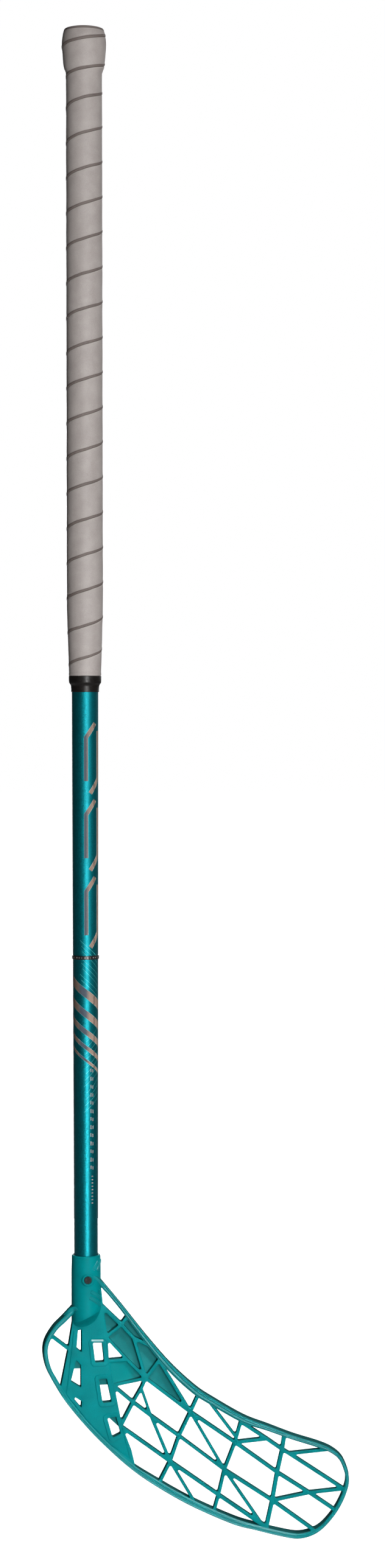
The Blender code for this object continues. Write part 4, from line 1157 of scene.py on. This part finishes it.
def make_end_band(look):
    """Stepped band at the grip's foot. Its wrapped end lies over its start and lifts the top edge there."""

    def wave(angle, depth, radius):
        top = max(1 - (depth - BAND_TOP) / (3 * MM), 0)
        if radius > shaft_radius(depth) + 0.45 * MM:
            turned_on = (angle + BAND_END_ANGLE) % (2 * pi)
            radius += BAND_LAP * top * float(np.interp(turned_on, (0, 0.04, 2.6), (0, 1, 0)))
        return depth + BAND_TILT * top * (0.5 - 0.5 * cos(angle + 0.9)), radius

    profile = [(BAND_TOP + d * MM, shaft_radius(BAND_TOP + d * MM) + h * MM) for d, h in BAND_PROFILE]
    profile += [(d, shaft_radius(d) + BAND_INNER_GAP) for d, _ in (profile[-1], profile[0])]
    add_object("end_band", *turned(profile, 128, wave), "grip_end_band", "black_rubber", [look], 50)


def ring_radius(_):
    """Outer radius of the ring, which is the same at each depth."""
    return shaft_radius(RING_DEPTH) + RING_OUT


def make_ring(look):
    foot = RING_DEPTH + RING_HEIGHT
    inner = shaft_radius(RING_DEPTH) + 0.05 * MM
    radius = ring_radius(RING_DEPTH)
    edge = ((0.02 * MM, radius - 0.1 * MM), (0.12 * MM, radius))
    profile = [(RING_DEPTH, inner), *((RING_DEPTH + d, r) for d, r in edge)]
    profile += [*((foot - d, r) for d, r in reversed(edge)), (foot, inner)]
    add_object("black_ring", *turned(profile), "marking_ring", "black_rubber", [look])


# Foil and print on the shaft: thin ribbons laid round it along (arc, depth) paths


def add_ribbons(
    name, ribbons, look, raised, node="shaft", slot="teal_paint", radius_at=shaft_radius, slope=0
):
    """Ribbons given as (path, half width) in millimetres. Arcs are distances round the shaft from its front,
    and the long edges of a ribbon slope down over `slope` millimetres.
    """
    meshes = []
    for path, half in ribbons:
        path = split_long(flat_points(path), RIBBON_STEP, closed=False)
        parts = max(1, ceil(half * 2 / RIBBON_PART))
        flat = 1 - slope / half
        section = [(flat * (2 * k / parts - 1), raised) for k in range(parts + 1)]
        if slope:
            section = [(-1, 0.1 * raised), *section, (1, 0.1 * raised)]
        section += [(share, -RIBBON_SINK) for share, _ in reversed(section)]
        ways = [(b - a).normalized() for a, b in zip(path, path[1:])]
        rows = []
        for p, u, v in zip(path, ways[:1] + ways, ways + ways[-1:]):
            across = mitred(u, v, half * MM, RIBBON_MITRE_LIMIT)
            places = [(p + across * share, lift) for share, lift in section]
            rows.append([around(radius_at(q.y) + lift, q.x / radius_at(q.y), q.y) for q, lift in places])
        meshes.append(tube(rows))
    add_object(name, *joined(meshes), node, slot, [look])


# Materials


class Nodes:
    """Adds nodes to a material or a world. An input is either a constant or another node's output."""

    def __init__(self, owner):
        owner.use_nodes = True
        self.tree = owner.node_tree

    def add(self, kind, inputs=None, **settings):
        node = self.tree.nodes.new("ShaderNode" + kind)
        for key, value in settings.items():
            setattr(node, key, value)
        self.fill(node, inputs or {})
        return node.outputs

    def fill(self, node, inputs):
        for key, value in inputs.items():
            if isinstance(value, bpy.types.NodeSocket):
                self.tree.links.new(value, node.inputs[key])
            else:
                node.inputs[key].default_value = value

    def maths(self, operation, a, b=0):
        return self.add("Math", {0: a, 1: b}, operation=operation)[0]

    def spread(self, value, low, high, to_low, to_high):
        inputs = {"Value": value, "From Min": low, "From Max": high, "To Min": to_low, "To Max": to_high}
        return self.add("MapRange", inputs)["Result"]

    def vector(self, operation, inputs):
        return self.add("VectorMath", inputs, operation=operation)

    def parts(self, vector):
        return self.add("SeparateXYZ", {0: vector})


class Look(Nodes):
    """A procedural material, laid out in the object's own metres."""

    def __init__(self, name):
        self.material = bpy.data.materials.new(name)
        super().__init__(self.material)
        self.place = self.add("TexCoord")["Object"]

    def noise(self, size, detail=2, roughness=0.5):
        """Soft noise between 0 and 1, whose blotches are about `size` wide."""
        inputs = {"Vector": self.place, "Scale": 1 / size, "Detail": detail, "Roughness": roughness}
        return self.add("TexNoise", inputs)["Fac"]

    def mottle(self, size, low, high, detail=3, roughness=0.5):
        """Soft noise spread between two values."""
        return self.spread(self.noise(size, detail, roughness), 0.3, 0.7, low, high)

    def cells(self, size):
        """Random cells about `size` wide: a colour per cell, and the distance from its middle."""
        return self.add("TexVoronoi", {"Vector": self.place, "Scale": 1 / size})

    def mix(self, share, a, b):
        a, b = ((*c, 1) if isinstance(c, tuple) else c for c in (a, b))
        return self.add("Mix", {0: share, 6: a, 7: b}, data_type="RGBA")[2]

    def bump(self, height, depth):
        return self.add("Bump", {"Height": height, "Distance": depth, "Strength": 1})["Normal"]

    def set(self, **values):
        names = {key.replace("_", " ").title().replace("Ior", "IOR"): value for key, value in values.items()}
        self.fill(self.tree.nodes["Principled BSDF"], names)
        return self.material


def lacquer_look():
    """Metallic teal lacquer: small flakes that each lie a little askew, under a thin clear coat."""
    look = Look("teal_lacquer")
    flake = look.cells(0.2 * MM)["Color"]
    tilts = []
    for cell, amount in ((flake, 0.17), (look.cells(0.5 * MM)["Color"], 0.06)):
        centred = look.vector("SUBTRACT", {0: cell, 1: (0.5, 0.5, 0.5)})[0]
        tilts.append(look.vector("SCALE", {0: centred, "Scale": amount})[0])
    both = look.vector("ADD", {0: tilts[0], 1: tilts[1]})[0]
    both = look.vector("ADD", {0: both, 1: look.add("NewGeometry")["Normal"]})[0]
    askew = look.vector("NORMALIZE", {0: both})[0]
    tone = look.mix(look.add("SeparateColor", {0: flake})[0], (0.0, 0.11, 0.138), (0.0, 0.23, 0.27))
    higher_up = look.spread(look.parts(look.place)["Z"], -0.9, -0.65, 0, 0.12)
    worn = look.maths("ADD", look.mottle(3 * MM, 0.33, 0.4), higher_up)
    return look.set(
        base_color=tone, metallic=0.9, roughness=worn, normal=askew, coat_weight=0.05, coat_roughness=0.3
    )


def foil_look_with_painted_reflection(name, left, right):
    """Printed metal foil with painted reflections: one colour left of the shaft's front, the other on its
    right with a thin dark line, all painted reflection set by which way the surface faces, and the other one
    again, darker, on its left edge as painted shade.
    """
    look = Look(name)
    # Painted reflection: the colour follows which way the surface faces round the shaft.
    side = look.parts(look.add("NewGeometry")["Normal"])["X"]
    side = look.maths("ADD", side, look.spread(look.noise(0.8 * MM), 0, 1, -0.06, 0.06))
    tone = look.mix(look.spread(side, -0.55, -0.35, 0, 1), tuple(c * 0.5 for c in right), left)
    tone = look.mix(look.spread(side, 0.08, 0.35, 0, 1), tone, right)
    # Painted reflection: a thin dark line where the surface faces a little to the right.
    from_line = look.maths("ABSOLUTE", look.maths("SUBTRACT", side, 0.7))
    tone = look.mix(look.spread(from_line, 0.02, 0.06, 0.6, 0), tone, (0.03, 0.025, 0.022))
    return look.set(base_color=tone, specular_ior_level=0.12, roughness=look.mottle(0.3 * MM, 0.4, 0.55))


def print_look(name, colour, gloss=0.4):
    """Thin print, worn unevenly."""
    look = Look(name)
    worn = look.spread(look.noise(0.5 * MM, 3), 0.35, 0.65, 0.75, 1.1)
    tone = look.mix(worn, tuple(c * 0.8 for c in colour), colour)
    return look.set(base_color=tone, metallic=0.1, roughness=gloss)


def grip_look(name, light, dark, depth, end=None):
    """Matte polyurethane: a fine pebbled grain with soft blotches of handling, and `end` at the very top,
    with a pale line below it that is a painted highlight.
    """
    look = Look(name)
    pebble = look.maths("MULTIPLY", look.cells(0.34 * MM)["Distance"], -1)
    normal = look.bump(look.maths("ADD", pebble, look.maths("MULTIPLY", look.noise(0.22 * MM), 0.8)), depth)
    speck = look.maths("MULTIPLY", look.mottle(0.35 * MM, 0, 1, 3, 0.7), 0.7)
    tone = look.mix(look.maths("ADD", speck, look.mottle(9 * MM, 0, 0.3)), dark, light)
    if end:
        height = look.parts(look.place)["Z"]
        # Painted highlight: a pale line just below the dark top end.
        tone = look.mix(look.spread(height, -3.4 * MM, -3.2 * MM, 0, 0.5), tone, light)
        tone = look.mix(look.spread(height, -2.9 * MM, -2.7 * MM, 0, 0.9), tone, end)
    return look.set(base_color=tone, roughness=0.55, specular_ior_level=0.45, normal=normal)


def moulded_look(name, grain, low, high, gloss=1.0, shine=0.06):
    """Half-matte moulded plastic with a fine spark-eroded grain and faint flow marks."""
    look = Look(name)
    flow = look.maths("MULTIPLY", look.mottle(14 * MM, 0, 1, 4), 0.55)
    speck = look.maths("MULTIPLY", look.mottle(0.5 * MM, 0, 1, 2, 0.7), 0.45)
    return look.set(
        base_color=look.mix(look.maths("ADD", flow, speck), low, high),
        roughness=look.mottle(6 * MM, 0.36 * gloss, 0.48 * gloss),
        specular_ior_level=shine,
        normal=look.bump(look.noise(0.28 * MM, 2, 0.6), grain),
    )


def dark_look(name, colour, roughness, grain, depth, shine=0.5):
    """Rubber, foam or blackened steel, whose grain is `grain` wide and `depth` deep."""
    look = Look(name)
    height = look.noise(grain, 3, 0.65)
    low, high = (tuple(c * share for c in colour) for share in (0.6, 1.3))
    return look.set(
        base_color=look.mix(look.spread(height, 0.35, 0.65, 0, 1), low, high),
        roughness=look.mottle(2.5 * MM, roughness * 0.8, roughness * 1.2, 2),
        specular_ior_level=shine,
        normal=look.bump(height, depth),
    )


LACQUER = lacquer_look()
# Foil and its outline, both coloured by facing as painted reflections.
FOIL = foil_look_with_painted_reflection("foil", (0.062, 0.076, 0.098), (0.26, 0.19, 0.15))
FOIL_LINE = foil_look_with_painted_reflection("foil_line", (0.12, 0.26, 0.28), (0.45, 0.4, 0.36))
HATCH = print_look("pale_teal_print", (0.05, 0.42, 0.42))
MARK = print_look("grey_print", (0.3, 0.28, 0.28))
WHITE = print_look("white_foil", (0.2, 0.36, 0.37), 0.35)
GRIP = grip_look("grip_face", (0.44, 0.402, 0.385), (0.27, 0.236, 0.222), 0.05 * MM, (0.14, 0.115, 0.105))
# Painted highlight: paler grip colour for the rounded upper edges of the turns.
GRIP_EDGE_HIGHLIGHT = grip_look("grip_edge_painted_highlight", (0.58, 0.54, 0.52), (0.43, 0.39, 0.37), 0.03 * MM)
SEAM = grip_look("grip_seam", (0.2, 0.165, 0.15), (0.1, 0.08, 0.072), 0.12 * MM)
CAP = dark_look("cap_rubber", (0.13, 0.105, 0.095), 0.7, 0.4 * MM, 0.03 * MM)
FOAM = dark_look("underlay_foam", (0.1, 0.085, 0.078), 0.85, 0.3 * MM, 0.05 * MM)
BAND = dark_look("band_rubber", (0.007, 0.0056, 0.005), 0.38, 0.9 * MM, 0.01 * MM, 0.3)
RING = dark_look("ring_rubber", (0.008, 0.0075, 0.0075), 0.32, 0.6 * MM, 0.01 * MM)
MOULDED = moulded_look("moulded_teal", 0.04 * MM, (0.0, 0.133, 0.142), (0.0, 0.21, 0.222), 1.0, 0.03)
RAISED = moulded_look("smooth_teal", 0.008 * MM, (0.0, 0.15, 0.163), (0.0, 0.178, 0.19), 0.8, 0.3)
# Panels and ledges: a rougher grain, and a darker tone that is painted shade in the recesses.
PANEL = moulded_look("panel_teal_painted_shade", 0.06 * MM, (0.003, 0.125, 0.13), (0.01, 0.185, 0.19), 1.2)
RIM = moulded_look("rim_teal", 0.02 * MM, (0.0, 0.155, 0.165), (0.002, 0.208, 0.22), 0.85, 0.24)
RAMP = moulded_look("ramp_teal", 0.03 * MM, (0.0, 0.16, 0.165), (0.0, 0.2, 0.205))
# Painted shade: walls much darker and greyer than the faces.
WALL_PAINTED_SHADE = moulded_look("wall_teal_painted_shade", 0.04 * MM, (0.008, 0.06, 0.06), (0.014, 0.095, 0.094), 2.0, 0.0)
SCREW = dark_look("black_oxide", (0.003, 0.003, 0.003), 0.3, 0.45 * MM, 0.6 * MM, 0.6)


# Pieces


def foil_graphics():
    """Long hooked bars on the shaft's right side, then slanted stripes that wrap round it."""
    bars = []
    for top in (543, 603, 663):
        bars.append((((8.8, top), (1.0, top + 11), (1.0, top + 45)), 1.45))
        bars.append((((12.6, top + 6), (12.6, top + 43), (4.4, top + 54.5)), 1.45))
    for start, half in ((741, 2.7), (757, 2.3), (771, 1.8), (783, 1.3), (793, 0.8)):
        bars.append((((-15.5, start), (15.5, start + 24)), half))
    return bars


def fine_hatch():
    lines = [((-4 + k % 3, 712 + 4.4 * k), (13, 727 + 4.4 * k)) for k in range(9)]
    lines += [((-1 + 0.7 * (k % 4), 846 - 5 * k), (13, 834 - 5 * k)) for k in range(12)]
    return [(line, 0.11) for line in lines]


def small_marks():
    marks = []
    for k in range(13):
        top = 812 + 6.3 * k
        marks.append((((4.5, top), (4.5, top + 2.6 + 0.5 * (k % 2))), 0.36))
        marks.append((((6.2, top + 0.6), (6.2, top + 3.1)), 0.36))
    return marks + [(((4.9, 896 + 2.6 * k), (6.3, 896 + 2.6 * k)), 0.42) for k in range(9)]


def ring_marks():
    """Short pale dashes round the black ring."""
    middle = (RING_DEPTH + RING_HEIGHT / 2) / MM
    ends = [(2.3 * k - 0.45, 2.3 * k + 0.45 - 0.3 * (k % 3)) for k in range(-13, 14)]
    return [(((start, middle), (end, middle)), 0.42) for start, end in ends]


make_lattice([MOULDED, PANEL, RAMP, WALL_PAINTED_SHADE, RIM])
socket = make_socket(MOULDED)
cut_round(socket, BOSS_POCKET_RADIUS, SCREW_SEAT, CUT_REACH)
cut_round(socket, SCREW_SHANK_RADIUS + SCREW_GAP, 0, CUT_REACH, 32)
make_run_in_bars([RIM, WALL_PAINTED_SHADE])
make_raised_bars(RAISED)
make_accent(WHITE)
make_screw(SCREW)
make_shaft(LACQUER)
make_butt_cap(CAP)
make_grip_strip([GRIP, SEAM, GRIP_EDGE_HIGHLIGHT])
make_end_band(BAND)
make_ring(RING)
graphics = foil_graphics()
add_ribbons("foil_outline", [(path, half + 0.22) for path, half in graphics], FOIL_LINE, 0.03 * MM)
add_ribbons("foil_bars", graphics, FOIL, 0.05 * MM)
add_ribbons("fine_hatch", fine_hatch(), HATCH, 0.02 * MM)
add_ribbons("small_marks", small_marks(), MARK, 0.025 * MM)
add_ribbons("ring_marks", ring_marks(), MARK, 0.02 * MM, "marking_ring", "black_rubber", ring_radius)
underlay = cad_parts["grip_underlay"]
underlay.data.materials.clear()
underlay.data.materials.append(FOAM)


# Camera: the photograph's own view

CAMERA_DISTANCE = 2200 * MM
CAMERA_PLACE = (83.95 * MM, -CAMERA_DISTANCE, -508.4 * MM)
CAMERA_ROLL = -0.00177
IMAGE_HEIGHT = 2576
PIXEL = 0.476 * MM
OPTICAL_ROW = 1115


def make_camera():
    data = bpy.data.cameras.new("camera")
    data.sensor_fit = "VERTICAL"
    data.sensor_height = data.sensor_width = 36
    data.lens = data.sensor_height * CAMERA_DISTANCE / (PIXEL * IMAGE_HEIGHT)
    data.shift_y = -(IMAGE_HEIGHT / 2 - OPTICAL_ROW) / IMAGE_HEIGHT
    camera = in_scene("camera", data)
    turn = Matrix.Rotation(radians(90), 4, "X") @ Matrix.Rotation(CAMERA_ROLL, 4, "Z")
    camera.matrix_world = Matrix.Translation(CAMERA_PLACE) @ turn
    bpy.context.scene.camera = camera


# Studio: white behind, dim all round, tall soft boxes in front and behind, and a narrow light on the blade

FILL_LEFT = 0.03
FILL_RIGHT = 0.2
FROM_ABOVE = 0.4
FLOOR_HEIGHT = -1.4
FLOOR_SIZE = 40.0
FLOOR_STEPS = 12
# Name, place, target and size in metres, watts and spread in degrees
LIGHTS = (
    ("softbox", (0.68, -2.35, -0.42), (0.03, 0, -0.5), (0.4, 1.8), 57, 180),
    ("back_softbox", (-0.2, 2.4, -0.5), (0.05, 0, -0.6), (0.7, 2.0), 45, 180),
    ("low_softbox", (0.62, -2.35, -1.55), (0.05, 0, -1.0), (0.4, 0.7), 26, 180),
    ("blade_light", (0.8, -1.2, 0.7), (0.09, 0, -1.09), (0.25, 0.25), 0.62, 22),
)


def make_world():
    """White for the camera. Metal sees that white behind and to the right of the stick, and a dim room
    elsewhere.
    """
    world = bpy.data.worlds.new("studio")
    bpy.context.scene.world = world
    sky = Nodes(world)
    ray = sky.add("LightPath")
    way = sky.parts(sky.add("TexCoord")["Generated"])
    ahead = sky.spread(way["Y"], 0.55, 0.8, 0, 1)
    behind = sky.maths("MULTIPLY", ahead, sky.spread(way["X"], -0.1, 0.1, 0, 1))
    seen = sky.maths("MAXIMUM", ray["Is Glossy Ray"], ray["Is Transmission Ray"])
    white = sky.maths("MAXIMUM", ray["Is Camera Ray"], sky.maths("MULTIPLY", seen, behind))
    sides = sky.spread(way["X"], -0.8, 0.8, FILL_LEFT, FILL_RIGHT)
    room = sky.maths("MULTIPLY", sides, sky.spread(way["Z"], 0, 0.8, 1, FROM_ABOVE))
    shade = {"Color": (1, 1, 1, 1), "Strength": sky.maths("MAXIMUM", white, room)}
    sky.fill(sky.tree.nodes["Background"], shade)


def make_floor():
    """Pale paper floor below the stick, white to the camera by a glow only the camera sees, dimmed near the
    point under the stick as painted shade, so that the stick's shadow shows there.
    """
    look = Look("floor_paper")
    tone = look.mix(look.mottle(0.05, 0, 1), (0.54, 0.54, 0.54), (0.57, 0.57, 0.57))
    away = look.vector("DISTANCE", {0: look.place, 1: (0, 0, FLOOR_HEIGHT)})["Value"]
    # Painted shade: less glow near the point under the stick, so the floor is greyer there.
    glow = look.spread(away, 0.25, 0.6, 0.56, 0.98)
    glow = look.maths("MULTIPLY", glow, look.add("LightPath")["Is Camera Ray"])
    look.set(base_color=tone, roughness=0.9, emission_color=(1, 1, 1, 1), emission_strength=glow)
    row = FLOOR_STEPS + 1
    ways = [FLOOR_SIZE * (i / FLOOR_STEPS - 0.5) for i in range(row)]
    points = [(x, y, FLOOR_HEIGHT) for y in ways for x in ways]
    starts = [k * row + i for k in range(FLOOR_STEPS) for i in range(FLOOR_STEPS)]
    mesh = mesh_of("floor", points, [(s, s + 1, s + row + 1, s + row) for s in starts])
    mesh.materials.append(look.material)
    floor = in_scene("floor", mesh)


def make_lights():
    for name, place, target, size, watts, spread in LIGHTS:
        data = bpy.data.lights.new(name, "AREA")
        data.shape = "RECTANGLE"
        data.size, data.size_y = size
        data.energy = watts
        data.spread = radians(spread)
        light = in_scene(name, data)
        light.location = place
        light.visible_camera = False
        light.rotation_euler = (Vector(target) - Vector(place)).to_track_quat("-Z", "Y").to_euler()


make_camera()
make_world()
make_floor()
make_lights()

bpy.context.scene.view_settings.view_transform = "Standard"
